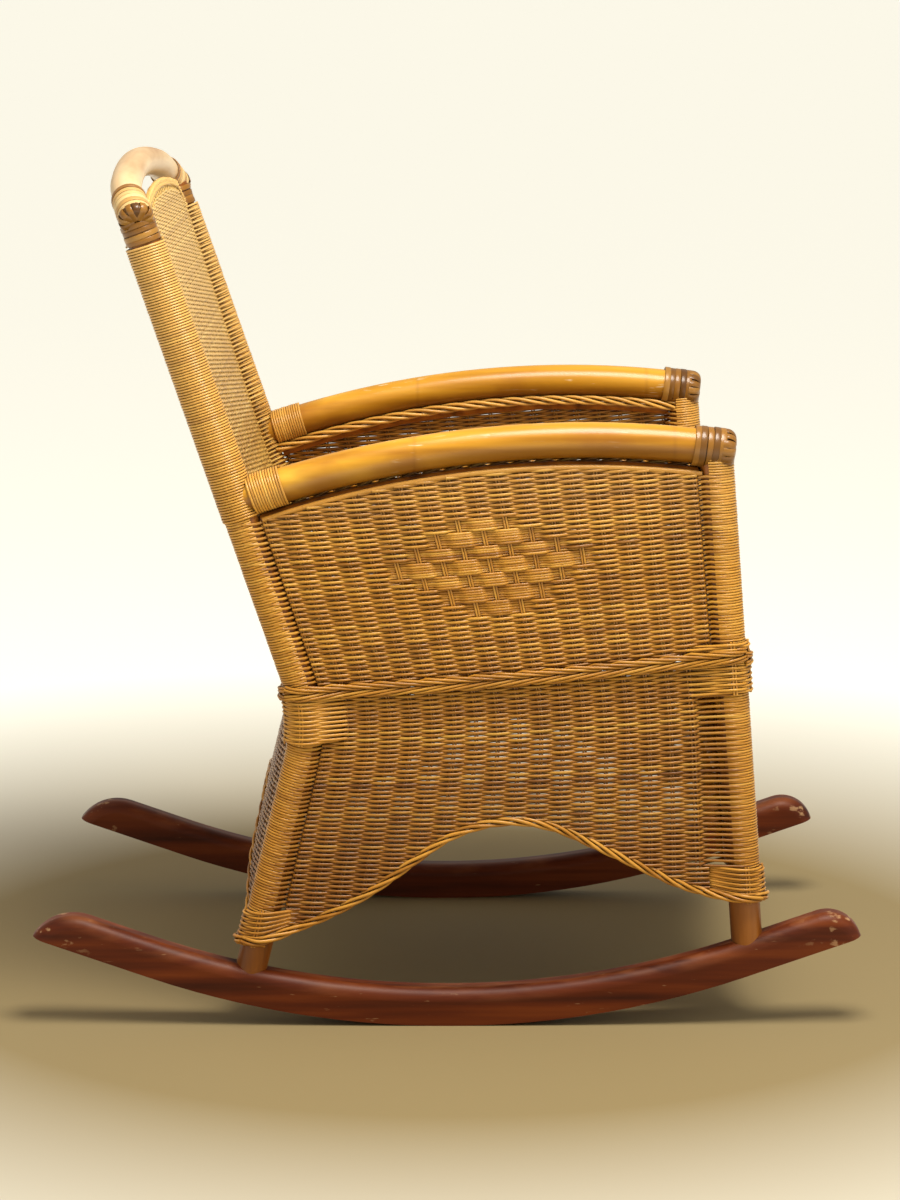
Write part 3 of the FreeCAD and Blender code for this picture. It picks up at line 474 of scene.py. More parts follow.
def even(places, row):
    """Every crossing at the same steepness."""
    return np.ones(len(places))


def row_places(first, last, stakes, per):
    """Places of a row's points: so many to a pitch, without the middle of a crossing, which lies on a
    straight line, and with one place just past the outermost stakes."""
    steps = np.arange(math.ceil(per * first + 0.2), math.floor(per * last - 0.2) + 1) / per
    if per == 4:
        steps = steps[np.abs(steps % 1 - 0.5) > 0.1]
    past = np.array([-past_stakes, stakes - 1 + past_stakes])
    past = past[(past > first) & (past < last)]
    return np.concatenate([[first], np.union1d(steps, past), [last]])


def weave_rows(rows, stakes, spot, inside, over, depth=sway, thickness=reed, steep=even, carry=None):
    """Reeds of the rows. Places -1 and stakes are the two posts.

    Depth is how far a row is pushed out or in, steep gives the steepness of its crossings, and carry
    may carry its ends on round the posts."""
    reeds = []
    fine = np.arange(-1, stakes + 0.001, 1 / 16)
    anchors = np.arange(-1, stakes + 1)
    for row in range(rows):
        signs = np.array([over(place, row) for place in anchors])
        lifts = depth * signs * dice.uniform(0.85, 1.1, len(signs))
        level = row + dice.uniform(-0.12, 0.12)
        per = 8 if steep(fine, row).max() > 1 else 4
        for first, last in stretches(inside(spot(fine, level, 0 * fine))):
            places = row_places(fine[first], fine[last], stakes, per)
            path = spot(places, level, eased(places, anchors, lifts, steep(places, row)))
            if carry is not None:
                path = carry(path, places, level, (signs[0], signs[-1]))
            if len(path) > 1:
                reeds.append((path, thickness))
    return reeds


def weave_stakes(rows, stakes, spot, inside, apart=0.055):
    """Pairs of stakes, each this far from the middle of the pair, in stake pitches."""
    reeds = []
    fine = np.arange(-2, rows + 2, 0.5)
    for pair in range(stakes):
        for offset in (-apart, apart):
            places = np.full(len(fine), pair + offset)
            for first, last in stretches(inside(spot(places, fine, 0 * fine))):
                heights = np.append(fine[first:last:10], fine[last])
                reeds.append((spot(np.full(len(heights), pair + offset), heights, 0 * heights), stake))
    return reeds


def plain(place, row):
    """In front of every second pair, the other way on the next row."""
    return 1.0 if (place + row) % 2 == 0 else -1.0


# %% [markdown]
# ## Rows that reach a post
#
# Every second row passes in front of the post, and the rows between pass behind it. A row leaves the last
# stakes, bridges the gap to the post, lies on the post's wrap and sinks between its turns. Seen from
# above this is a tangent to the post and an arc. Where a woven collar goes round the post, the rows stop
# before the last stakes instead, because the collar takes over from there.

# %% Carrying rows on to the posts
hug_r = coil_r + 0.0009
hug_end = math.radians(45)      # counted from the way that the row runs


def onto_post(run, flat, face, more=0.0, end=hug_end):
    """Places along and out of a panel, round the outer face of a post, or its inner face where face is -1.

    They start at a point this far before the post's middle and out of it. The wrap may be thicker by more."""
    flat *= face
    reach = max(math.hypot(run, flat), hug_r + more)
    lead = math.pi - math.atan2(flat, run) - math.acos((hug_r + more) / reach)
    turn = np.linspace(lead, end, 7)
    radius = more + np.linspace(hug_r, coil_r - 0.0012, 7)
    return radius[:, None] * np.column_stack([np.cos(turn), face * np.sin(turn)])


def corner_points(line, sign, ahead, places, height):
    """Points in space from forward and outward places at a post, at heights that follow the side panel."""
    x = line(height) + ahead * places[:, 0]
    return np.column_stack([x, sign * (side + places[:, 1]), height])


def carried(path, places, stakes, in_front, ends):
    """A row with its two ends stopped or carried on.

    Ends holds, for each end, where the row stops past the outermost stakes if a collar takes over, or else
    None, and a function that gives the rest from the last point and the face of the post."""
    keep = np.ones(len(places), bool)
    onward = [None, None]
    for end, beyond in ((0, -places), (1, places - (stakes - 1))):
        stop, rest = ends[end]
        if beyond.max() > 2 * past_stakes:
            keep &= beyond < (1.1 * past_stakes if stop is None else stop)
            onward[end] = rest if stop is None else None
    parts = [path[keep]]
    if keep.any() and onward[1]:
        parts.append(onward[1](parts[0][-1], in_front[1]))
    if keep.any() and onward[0]:
        parts.insert(0, onward[0](parts[0][0], in_front[0])[::-1])
    return np.vstack(parts)


# %% [markdown]
# ## Panels under the arms
#
# The stakes fan out from the raked rear post to the steeper front post, which a share of the way between
# the two posts gives at once. The rows start at the seat line and rise with it, and the rod under the arm
# cuts the upper ones, where one thicker reed finishes the weave. In the middle is a diamond, a common
# pattern of the craft: five rows at a time go over and under together, so that short upright bars of the
# stakes show between blocks of reed, and the blocks shift by one pair at each step.

# %% Arm panels
side_reed = 0.0034
edge_reed = 0.0062              # the reed that finishes the weave under the arm
side_stakes = 19
edge_share = 0.046              # from a post to the first pair, as a share of the way across
diamond_foot = 0.076            # from the braid up to the diamond
diamond_rows = (5, 6, 5, 6, 5, 6, 5)        # rows in each step
diamond_steps = (2, 3, 4, 5, 4, 3, 2)       # upright bars in each step
diamond_middle = 9
under_drop = 0.0295             # from the arm's middle line down to the rod that the weave hangs from
seat_stop, hem_stop = -0.7, 0.2     # where rows stop for a collar, in pitches past the outermost stakes
skirt_front_stops = (0.3, 0.5)      # the same at the front of the side skirts, which have a pair less
front_collar = (0.375, 0.431)   # heights of the woven collars round the posts at the seat
rear_collar = (0.319, 0.375)
front_hem_collar = (0.141, 0.181)
rear_hem_collar = (0.092, 0.132)


def share_of(place, stakes, first, last):
    """Share of the way across, with the outermost stakes at these shares from the two posts."""
    return np.interp(place, [-1, 0, stakes - 1, stakes], [0, first, 1 - last, 1])


def between_posts(points):
    """True where a point of a side panel lies between the two poles."""
    x, z = points[:, 0], points[:, 2]
    return (x > rear_line(z) + post_gap) & (x < front_line(z) - post_gap)


def diamond_step(row):
    """Bars in the step of the diamond that a row belongs to, or none."""
    first = int((diamond_foot - 0.008) / row_pitch)
    for bars, rows in zip(diamond_steps, diamond_rows):
        if first <= row < first + rows:
            return bars
        first += rows
    return 0


def diamond(place, row):
    """Plain weave with the diamond in its middle, whose blocks lie flatter."""
    reach = diamond_step(row) - 1
    away = place - diamond_middle
    if abs(away) <= reach:
        return -0.9 if (away + reach) % 2 == 0 else 0.85
    return plain(place, row)


def block_steep(places, row):
    """Steeper crossings in the diamond, so that its blocks end square at the bars."""
    return np.where(np.abs(places - diamond_middle) < diamond_step(row), 2.6, 1.0)


def stop_at(height, collars):
    """Where a row at this height stops for one of the collars, or None."""
    for low, high, stop in collars:
        if low < height < high:
            return stop
    return None


def side_carry(sign, height_at, stakes, collars):
    """Function that carries the rows of a side panel on, with the collars at the rear and front posts."""
    def carry(path, places, row, in_front):
        ends = []
        for line, ahead, share, bands in ((rear_line, -1, 0.0, collars[0]), (front_line, 1, 1.0, collars[1])):
            height = float(height_at(share, row))

            def onward(point, face, line=line, ahead=ahead, height=height):
                run = ahead * (float(line(point[2])) - point[0])
                round_it = onto_post(run, sign * point[1] - side, face)
                return corner_points(line, sign, ahead, round_it, np.full(len(round_it), height))

            ends.append((stop_at(height, bands), onward))
        return carried(path, places, stakes, in_front, ends)

    return carry


def side_spot(sign, height_at, stakes, first, last):
    """Function that gives points of a side panel from places, a row and lifts."""
    def spot(place, row, lift):
        share = share_of(place, stakes, first, last)
        z = height_at(share, row)
        x = (1 - share) * rear_line(z) + share * front_line(z)
        return np.column_stack([x, sign * (side + panel_out + lift), z])

    return spot


def arm_row_height(share, row):
    return seat_line(share) + 0.008 + np.asarray(row) * row_pitch


def arm_panel(name, sign):
    spot = side_spot(sign, arm_row_height, side_stakes, edge_share, edge_share)

    def inside(points):
        return between_posts(points) & (points[:, 2] < arm_line(points[:, 0], under_drop))

    rows = int(0.248 / row_pitch)
    collars = ([(*rear_collar, seat_stop)], [(*front_collar, seat_stop)])
    carry = side_carry(sign, arm_row_height, side_stakes, collars)
    reeds = weave_rows(rows, side_stakes, spot, inside, diamond, thickness=side_reed, steep=block_steep,
                       carry=carry)
    reeds += weave_stakes(rows, side_stakes, spot, inside)
    rear_x, front_x = float(rear_line(0.55)) + pole_r, float(front_line(0.60)) - pole_r
    x = np.linspace(rear_x, front_x, 60)
    edge = np.column_stack([x, np.full(60, sign * (side + panel_out)), arm_line(x, under_drop - 0.001)])
    reeds.append((edge, edge_reed))
    reed_piece(name, reeds, honey_reed)


for sign, hand in hands:
    arm_panel("arm_panel_" + hand, sign)

# %% [markdown]
# ## Skirts
#
# Below the seat the weave goes on down to an arched hem. The hem is a crest arc, two straight flanks and
# two arcs that sweep out to the legs, worked out from its height at the crest and at the legs. The rows
# start parallel to the seat line and level out on the way down.

# %% The line of a hem


def hem_half(run, rise, crest_r, sweep_r, end_slope):
    """Drop below the crest as a function of the distance from it."""
    end = math.radians(end_slope)
    low, high = end, math.radians(75)
    for step in range(50):
        angle = (low + high) / 2
        flat = run - (crest_r + sweep_r) * math.sin(angle) + sweep_r * math.sin(end)
        drop = (crest_r * (1 - math.cos(angle)) + flat * math.tan(angle)
                + sweep_r * (math.cos(end) - math.cos(angle)))
        low, high = (angle, high) if drop < rise else (low, angle)

    def drop_at(away):
        away = np.minimum(away, run)
        crest = crest_r - np.sqrt(np.maximum(crest_r ** 2 - away ** 2, 0))
        flank = crest_r * (1 - math.cos(angle)) + (away - crest_r * math.sin(angle)) * math.tan(angle)
        lean = (run - away) / sweep_r + math.sin(end)
        sweep = rise - sweep_r * (math.cos(end) - np.sqrt(np.maximum(1 - lean ** 2, 0)))
        sweep_start = run - sweep_r * (math.sin(angle) - math.sin(end))
        return np.where(away < crest_r * math.sin(angle), crest, np.where(away < sweep_start, flank, sweep))

    return drop_at


hem_crest_x, hem_crest_z = 0.073, 0.232
rear_hem_z, front_hem_z = 0.099, 0.148
rear_hem_rise_z, front_hem_rise_z = hem_crest_z - rear_hem_z, hem_crest_z - front_hem_z
hem_behind = hem_half(hem_crest_x - float(rear_line(rear_hem_z)), rear_hem_rise_z, 0.150, 0.407, 14.0)
hem_ahead = hem_half(float(front_line(front_hem_z)) - hem_crest_x, front_hem_rise_z, 0.150, 0.200, 0.0)
hem_front = hem_half(side, front_hem_rise_z, 0.110, 0.110, 0.0)
hem_rear = hem_half(side, rear_hem_rise_z, 0.110, 0.110, 0.0)


def side_hem(x):
    """Height of a side skirt's hem."""
    away = np.abs(np.asarray(x) - hem_crest_x)
    return hem_crest_z - np.where(np.asarray(x) < hem_crest_x, hem_behind(away), hem_ahead(away))


print("side hem at the rear leg, crest and front leg:", side_hem(np.array([-0.208, 0.073, 0.327])).round(3))

# %% Side skirts
skirt_rows = int(0.307 / row_pitch)
skirt_stakes = side_stakes - 1  # the skirts have no pair close to the front leg
skirt_edge = edge_share + (1 - 2 * edge_share) / (side_stakes - 1)
level_row = 0.206 / row_pitch   # from this row down, the rows lie level


def skirt_row_height(share, row):
    """Height of a row of a side skirt, which levels out on the way down."""
    row = np.asarray(row)
    lost = np.minimum(row, level_row) / level_row * seat_rise * (share - 0.5)
    return seat_line(share) - 0.006 - row * row_pitch - lost


def side_skirt(name, sign):
    spot = side_spot(sign, skirt_row_height, skirt_stakes, edge_share, skirt_edge)

    def inside(points):
        return between_posts(points) & (points[:, 2] > side_hem(points[:, 0]) + 0.001)

    collars = ([(*rear_collar, seat_stop), (0, rear_hem_collar[1], hem_stop)],
               [(*front_collar, skirt_front_stops[0]), (0, front_hem_collar[1], skirt_front_stops[1])])
    carry = side_carry(sign, skirt_row_height, skirt_stakes, collars)
    reeds = weave_rows(skirt_rows, skirt_stakes, spot, inside, plain, thickness=side_reed, carry=carry)
    reeds += weave_stakes(skirt_rows, skirt_stakes, spot, inside)
    reed_piece(name, reeds, honey_reed)


for sign, hand in hands:
    side_skirt("side_skirt_" + hand, sign)

# %% Front and rear skirts
cross_stakes = 21
cross_edge = 0.042
rear_bow = 0.018                # how far the middle of the rear skirt bulges out


def straight_line(y, z):
    return front_line(z)


def bowed_line(y, z):
    """X of the rear skirt before it is pushed out, with the bulge that fades out towards the seat."""
    low = np.clip((seat_rear_z - z) / 0.080, 0, 1)
    return rear_line(z) - rear_bow * (1 - (y / side) ** 4) * low * np.clip(0.55 + (z - 0.10) / 0.12, 0, 1)


def cross_carry(line, way, bands):
    """Function that carries the rows of a cross skirt on round the legs, between the collars."""
    def carry(path, places, row, in_front):
        height = float(path[0, 2])
        ends = []
        for sign in (-1, 1):
            def onward(point, face, sign=sign):
                out = way * (point[0] - float(line(point[2])))
                round_it = onto_post(side - abs(point[1]), out, face)
                return corner_points(line, sign, way, round_it[:, ::-1], np.full(len(round_it), height))

            ends.append((stop_at(height, bands), onward))
        return carried(path, places, cross_stakes, in_front, ends)

    return carry


def cross_skirt(name, top, hem, line, way, leg_line, bands):
    """Skirt across the chair, on the front or rear legs' line, pushed out one way."""
    def spot(place, row, lift):
        share = share_of(place, cross_stakes, cross_edge, cross_edge)
        y = -side + 2 * side * share
        z = top - 0.002 - np.asarray(row) * row_pitch + 0 * share
        return np.column_stack([line(y, z) + way * (panel_out + lift), y, z])

    def inside(points):
        y, z = np.abs(points[:, 1]), points[:, 2]
        return (y < side - post_gap) & (z > hem_crest_z - hem(y) + 0.001)

    carry = cross_carry(leg_line, way, bands)
    reeds = weave_rows(skirt_rows, cross_stakes, spot, inside, plain, carry=carry)
    reeds += weave_stakes(skirt_rows, cross_stakes, spot, inside)
    reed_piece(name, reeds, honey_reed)


cross_skirt("front_skirt", 0.403, hem_front, straight_line, 1, front_line,
            [(*front_collar, seat_stop), (0, front_hem_collar[1], hem_stop)])
cross_skirt("rear_skirt", seat_rear_z, hem_rear, bowed_line, -1, rear_line,
            [(*rear_collar, seat_stop), (0, rear_hem_collar[1], hem_stop)])

# %% [markdown]
# ## Back and seat
#
# The back is woven finer than the sides. Its rows run from post to post, and the arched border closes it
# at the top. The arch is three arcs: a shoulder at each post and a flat bow between them. The seat is a
# second fine weave on the front and rear seat rails, and it rolls over the front rail to meet the front
# skirt.

# %% The back
back_up = np.array([-math.sin(back_rake), 0, math.cos(back_rake)])
back_ahead = np.array([back_up[2], 0, -back_up[0]])
fine_reed = 0.0029
fine_sway = 0.0015
fine_pitch = 0.00255
border_half = side - wrap_r
border_shoulder_r = 0.060
border_turn = math.radians(61)
border_mid_turn = math.radians(7)
border_join = border_half - border_shoulder_r * (math.sin(border_turn) - math.sin(border_mid_turn))
border_bow_r = border_join / math.sin(border_mid_turn)


def back_place(u, v, forward):
    """Point at Y u, this far up the posts from their bend, and forward of the plane of the posts."""
    base = np.array([bend_x, 0, bend_z])
    flat = np.outer(v, back_up) + np.outer(forward, back_ahead)
    return base + flat + np.column_stack([np.zeros(len(u)), u, np.zeros(len(u))])


def back_forward(v):
    """The weave stands a little further forward of the posts towards the top."""
    return np.interp(v, [0.0, 0.25, 0.57], [0.004, 0.001, 0.008])


def border_rise(u):
    """Rise of the border's arch above its ends."""
    u = np.minimum(np.abs(u), border_half)
    lean = math.sin(border_turn) - (border_half - u) / border_shoulder_r
    shoulder = border_shoulder_r * (np.sqrt(np.maximum(1 - lean ** 2, 0)) - math.cos(border_turn))
    join_rise = border_shoulder_r * (math.cos(border_mid_turn) - math.cos(border_turn))
    bow = join_rise + np.sqrt(border_bow_r ** 2 - u ** 2) - border_bow_r * math.cos(border_mid_turn)
    return np.where(u > border_join, shoulder, bow)


border_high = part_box("back_border")[1]
border_top_v = (border_high[2] - 0.005 - bend_z + back_forward(1.0) * back_up[0]) / back_up[2]
border_foot_v = border_top_v - float(border_rise(np.array([0.0]))[0])
thick_from = 0.566              # the rear posts have a thicker wrap from the arms up
thick_more = 0.0019
back_stakes = 23
back_foot = 0.022               # from the bend up the posts to the first row
back_rows = int((border_top_v - back_foot) / fine_pitch)


def back_spot(place, row, lift):
    share = share_of(place, back_stakes, 0.06, 0.06)
    u = -side + 2 * side * share
    v = back_foot + np.asarray(row) * fine_pitch + 0 * u
    return back_place(u, v, back_forward(v) + lift)


def back_inside(points):
    u = points[:, 1]
    v = (points - np.array([bend_x, 0, bend_z])) @ back_up
    arch = np.where(np.abs(u) < border_half, border_rise(u), 0)
    return (np.abs(u) < side - 0.010) & (v < border_foot_v + arch)


def back_rows_inside(points):
    """The rows end below the border and leave a line of holes along it."""
    return back_inside(points + 0.0095 * back_up)


def back_carry(path, places, row, in_front):
    """Rows of the back, carried on round the front or the rear of the posts."""
    v = back_foot + row * fine_pitch
    more = thick_more if bend_z + v * back_up[2] > thick_from else 0.0
    ends = []
    for sign in (-1, 1):
        def onward(point, face, sign=sign):
            forward = float((point - np.array([bend_x, 0, bend_z])) @ back_ahead)
            round_it = onto_post(side - abs(point[1]), forward, face, more, math.radians(85))
            return back_place(sign * (side + round_it[:, 0]), np.full(len(round_it), v), round_it[:, 1])

        ends.append((None, onward))
    return carried(path, places, back_stakes, in_front, ends)


back_reeds = weave_rows(back_rows, back_stakes, back_spot, back_rows_inside, plain, fine_sway, fine_reed,
                        carry=back_carry)
back_reeds += weave_stakes(back_rows, back_stakes, back_spot, back_inside)
reed_piece("back_panel", back_reeds, bleached_and_lit_reed, resolution=0)

# %% The seat
front_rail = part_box("seat_rail_front")
rear_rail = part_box("seat_rail_rear")
seat_rail_r = 0.014
rail_front = np.array([(front_rail[0][0] + front_rail[1][0]) / 2, 0.403])
rail_rear = np.array([(rear_rail[0][0] + rear_rail[1][0]) / 2, 0.362])
seat_run = rail_front - rail_rear
seat_length = float(np.hypot(*seat_run))
seat_way = seat_run / seat_length
seat_up = np.array([-seat_way[1], seat_way[0]])
seat_height = seat_rail_r + 0.0039
seat_stakes = 19
seat_rows = int(0.478 / row_pitch)


def seat_spot(place, row, lift):
    """The row counts along the top of the seat and on round the front rail."""
    share = share_of(place, seat_stakes, 0.05, 0.05)
    along = 0.004 + np.asarray(row) * row_pitch + 0 * share
    flat = np.minimum(along, seat_length)
    turn = np.maximum(along - seat_length, 0) / seat_height
    height = seat_height + np.asarray(lift)
    x = rail_rear[0] + flat * seat_way[0] + height * (np.cos(turn) * seat_up[0] + np.sin(turn) * seat_way[0])
    z = rail_rear[1] + flat * seat_way[1] + height * (np.cos(turn) * seat_up[1] + np.sin(turn) * seat_way[1])
    return np.column_stack([x, -side + 2 * side * share, z])


def seat_inside(points):
    x, y, z = points.T
    near = 0.017
    at_front = np.abs(x - front_line(z)) < near
    at_rear = np.abs(x - rear_line(z)) < near
    return ~((at_front | at_rear) & (np.abs(y) > side - near))


seat_reeds = weave_rows(seat_rows, seat_stakes, seat_spot, seat_inside, plain)
seat_reeds += weave_stakes(seat_rows, seat_stakes, seat_spot, seat_inside)
reed_piece("seat_panel", seat_reeds, honey_reed)

# %% [markdown]
# ## Wraps on the posts
#
# The rows of the weave loop round the posts, so each post is covered by close turns of reed. The turns
# are made one by one, so that each has a tone of its own. A turn is a ring of points round the post's
# middle line that climbs by one pitch. The rear posts bend, and the turns follow the bend, because each
# ring lies square to the middle line. Beside a woven side the turns are left open, because the rows of
# the weave come in there.

# %% Winding a reed round a post
ring_points = 18
half_opening = math.radians(62)  # of a turn that is open towards a panel
open_ahead, open_behind = 0.0, math.pi   # angles from forward
wrap_pitch = 0.0030


def post_track(line, low, high):
    """Points of a post's middle line about every millimetre, and the way forward across the post."""
    z = np.linspace(low, high, int((high - low) * 1000) + 2)
    points = np.column_stack([line(z), np.zeros(len(z)), z])
    ways = np.gradient(points, axis=0)
    ways /= np.linalg.norm(ways, axis=1)[:, None]
    across = np.column_stack([ways[:, 2], np.zeros(len(z)), -ways[:, 0]])
    return points, across


def wind(track, sign, radius, pitch, thickness, opening=None):
    """Turns of reed round a track on one side of the chair, full or open towards an angle from forward."""
    points, across = track
    reach = np.concatenate([[0.0], np.cumsum(np.linalg.norm(np.diff(points, axis=0), axis=1))])
    turns = int(reach[-1] / pitch)
    half = math.pi if opening is None else math.pi - half_opening
    angle = (math.pi if opening is None else opening + math.pi) + np.linspace(-half, half, ring_points + 1)
    reeds = []
    for turn in range(turns):
        place = (turn + 0.5 + (angle - angle.mean()) / (2 * math.pi)) / turns * reach[-1]
        middle = np.column_stack([np.interp(place, reach, points[:, i]) for i in range(3)])
        outward = np.column_stack([np.interp(place, reach, across[:, i]) for i in range(3)])
        ring = radius + np.linspace(*dice.uniform(-0.00025, 0.00025, 2), len(angle))
        path = middle + outward * (ring * np.cos(angle))[:, None]
        path[:, 1] += sign * (side + ring * np.sin(angle))
        reeds.append((path, thickness))
    return reeds


# %% [markdown]
# ## Corners
#
# At the seat and at the hem the weave itself turns the corner round the post, over the wrap. A corner is
# a straight lead from the last stakes of the side panel, an arc round the post and a straight lead to the
# next panel. The rows there weave over and under two more pairs of stakes that stand on the post. The
# braids take the same way round.

# %% The way round a corner
corner_run = 0.045              # from a post's middle line to the nearest stakes of a panel
post_stakes = (math.radians(80), math.radians(10))      # counted from forward towards the outside


def corner_way(radius, flat, steps=22):
    """Distances along the way round a post, and forward and outward places and ways out along it.

    The way leaves the side panel at the outward distance flat and reaches the next panel at that distance."""
    reach = math.hypot(corner_run, flat)
    lead = math.pi - math.atan2(flat, corner_run) - math.acos(radius / reach)
    straight = math.sqrt(reach ** 2 - radius ** 2)
    total = 2 * straight + radius * (2 * lead - math.pi / 2)
    along = np.linspace(0, total, steps)
    turn = np.clip(lead - (along - straight) / radius, math.pi / 2 - lead, lead)
    beyond = np.minimum(along - straight, 0) + np.maximum(along - total + straight, 0)
    out = np.column_stack([np.cos(turn), np.sin(turn)])
    way = np.column_stack([np.sin(turn), -np.cos(turn)])
    stakes_along = [straight + radius * (lead - stake_turn) for stake_turn in post_stakes]
    return along, radius * out + beyond[:, None] * way, out, stakes_along


def corner_rows(line, sign, ahead, heights, overs, rise, tucked=False):
    """Rows that weave round a post at these heights, and the stakes on the post.

    Overs says which rows pass in front of the last stakes of the side panel. Rise gives how much higher
    than at the post the rows are on the panels, for the share of the way up and the places at the post.
    Tucked rows end behind the panels."""
    radius = pole_r + wrap_reed + 0.0022
    along, places, out, stakes_along = corner_way(radius, panel_out)
    anchors = [0, *stakes_along, along[-1]]
    reeds = []
    low, high = min(heights), max(heights)
    for level, over in zip(heights, overs):
        ends = (-0.0045, -0.0045) if tucked else (over * sway, -over * sway)
        push = eased(along, anchors, [ends[0], -over * 0.0013, over * 0.0013, ends[1]])
        height = level + rise((level - low) / (high - low), places) + dice.uniform(-2e-4, 2e-4)
        reeds.append((corner_points(line, sign, ahead, places + push[:, None] * out, height), reed))
    height = np.linspace(low - 0.003, high + 0.003, 8)
    for turn in post_stakes:
        for offset in (-0.07, 0.07):
            place = radius * np.array([math.cos(turn + offset), math.sin(turn + offset)])
            reeds.append((corner_points(line, sign, ahead, np.tile(place, (8, 1)), height), stake))
    return reeds


# %% Wraps with their corners
wrap_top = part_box("rear_post_wrap_right")[1][2] - (pole_r + wrap_reed) * math.sin(back_rake)
front_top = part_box("front_post_wrap_right")[1][2] - 0.004


def sloped(slope):
    """Rise along a side panel with a steady slope."""
    return lambda share, places: slope * np.minimum(places[:, 0], 0)


def along_hem(line, ahead, leg_z, cross_hem):
    """Rise that follows the hems beside a leg in the lowest row, and lies level in the highest."""
    def rise(share, places):
        on_side = side_hem(float(line(leg_z)) + ahead * np.minimum(places[:, 0], 0)) - leg_z
        on_cross = hem_crest_z - cross_hem(side + np.minimum(places[:, 1], 0)) - leg_z
        return (1 - share) * np.maximum(np.where(places[:, 0] < 0, on_side, on_cross), 0)

    return rise


def seat_collar(line, sign, ahead, share, band, slope):
    """Collar of the rows that the side panels stop at a post."""
    place = 1 if ahead < 0 else side_stakes - 2
    rows = [(float(skirt_row_height(share, row)), plain(place, row)) for row in range(skirt_rows)]
    rows += [(float(arm_row_height(share, row)), plain(place, row)) for row in range(4)]
    rows = [row for row in rows if band[0] < row[0] < band[1]]
    return corner_rows(line, sign, ahead, [row[0] for row in rows], [row[1] for row in rows], sloped(slope))


def hem_collar(line, sign, ahead, band, rise):
    """Collar at the foot of a leg, whose rows fan out from the hem."""
    count = int((band[1] - band[0]) / row_pitch)
    heights = [band[0] + (row + 0.5) * row_pitch for row in range(count)]
    overs = [1 if row % 2 == 0 else -1 for row in range(count)]
    return corner_rows(line, sign, ahead, heights, overs, rise, tucked=True)


front_hem_rise = along_hem(front_line, 1, front_hem_z, hem_front)
rear_hem_rise = along_hem(rear_line, -1, rear_hem_z, hem_rear)


def wound(line, sign, low, high, opening=None, more=0.0):
    """Turns of the wrap on a stretch of a post, which may be thicker by more."""
    return wind(post_track(line, low, high), sign, coil_r + more, wrap_pitch, wrap_reed, opening)


def wrap_piece(name, reeds):
    reed_piece(name, reeds, golden_reed, 0.07)


for sign, hand in hands:
    reeds = wound(front_line, sign, front_hem_collar[0], front_collar[1], open_behind)
    reeds += seat_collar(front_line, sign, 1, 1.0, front_collar, 0.13)
    reeds += hem_collar(front_line, sign, 1, front_hem_collar, front_hem_rise)
    wrap_piece("front_leg_wrap_" + hand, reeds)
    reeds = wound(rear_line, sign, rear_hem_collar[0], rear_collar[1], open_ahead)
    reeds += seat_collar(rear_line, sign, -1, 0.0, rear_collar, -0.04)
    reeds += hem_collar(rear_line, sign, -1, rear_hem_collar, rear_hem_rise)
    wrap_piece("rear_leg_wrap_" + hand, reeds)
    wrap_piece("front_post_wrap_" + hand, wound(front_line, sign, front_collar[1], front_top, open_behind))
    reeds = wound(rear_line, sign, rear_collar[1], thick_from, open_ahead)
    reeds += wound(rear_line, sign, thick_from, wrap_top, more=thick_more)
    wrap_piece("rear_post_wrap_" + hand, reeds)

# %% [markdown]
# ## Braids
#
# Three kinds of edge are plaited from the same reed. At the seat, two rows of three reeds pass in front
# of two pairs and behind one, and lean towards each other, so they look like a row of arrow heads. The
# hem is a rope of four reeds laid round each other, and so is the inner edge of the arms. The border of
# the back is a flat plait of three reeds, with two reeds behind its holes that are painted as shade. All
# of them follow a track: points, and at each point the way up and the way out of the surface.

# %% Reeds along a track
braid_reed = 0.0033


def track_of(points, out):
    """A track with a point every 2.5 mm, with its upward and outward ways."""
    out = np.broadcast_to(np.asarray(out, float), points.shape)
    steps = np.concatenate([[0.0], np.cumsum(np.linalg.norm(np.diff(points, axis=0), axis=1))])
    reach = np.linspace(0, steps[-1], int(steps[-1] / 0.0025))
    points = np.column_stack([np.interp(reach, steps, points[:, i]) for i in range(3)])
    out = np.column_stack([np.interp(reach, steps, out[:, i]) for i in range(3)])
    out /= np.linalg.norm(out, axis=1)[:, None]
    ways = np.gradient(points, axis=0)
    up = np.cross(ways, out)
    up /= np.linalg.norm(up, axis=1)[:, None]
    up *= np.sign(up[:, 2:3] + 1e-9)
    return reach, points, up, out


def arrow_braid(track, height, depth, pitch):
    """Two rows of three reeds whose floats lean towards the middle line."""
    reach, points, up, out = track
    reeds = []
    seen = 0.72     # share of a reed's way in front
    for half in (1, -1):
        for strand in range(3):
            phase = (reach / (3 * pitch) + strand / 3 + (1 / 6 if half < 0 else 0)) % 1
            shown = np.clip(phase / seen, 0, 1)
            hidden = np.clip((phase - seen) / (1 - seen), 0, 1)
            rise = np.where(phase < seen, 1 - shown, hidden)
            push = np.where(phase < seen, np.sin(math.pi * shown) ** 0.6, -np.sin(math.pi * hidden))
            path = points + up * (half * height * (0.1 + 0.9 * rise))[:, None] + out * (depth * push)[:, None]
            reeds.append((path, braid_reed))
    return reeds


def rope(track, strands, radius, lead, thickness):
    """Reeds laid round each other."""
    reach, points, up, out = track
    reeds = []
    for strand in range(strands):
        angle = 2 * math.pi * (reach / lead + strand / strands)
        path = points + up * (radius * np.cos(angle))[:, None] + out * (radius * np.sin(angle))[:, None]
        reeds.append((path, thickness))
    return reeds


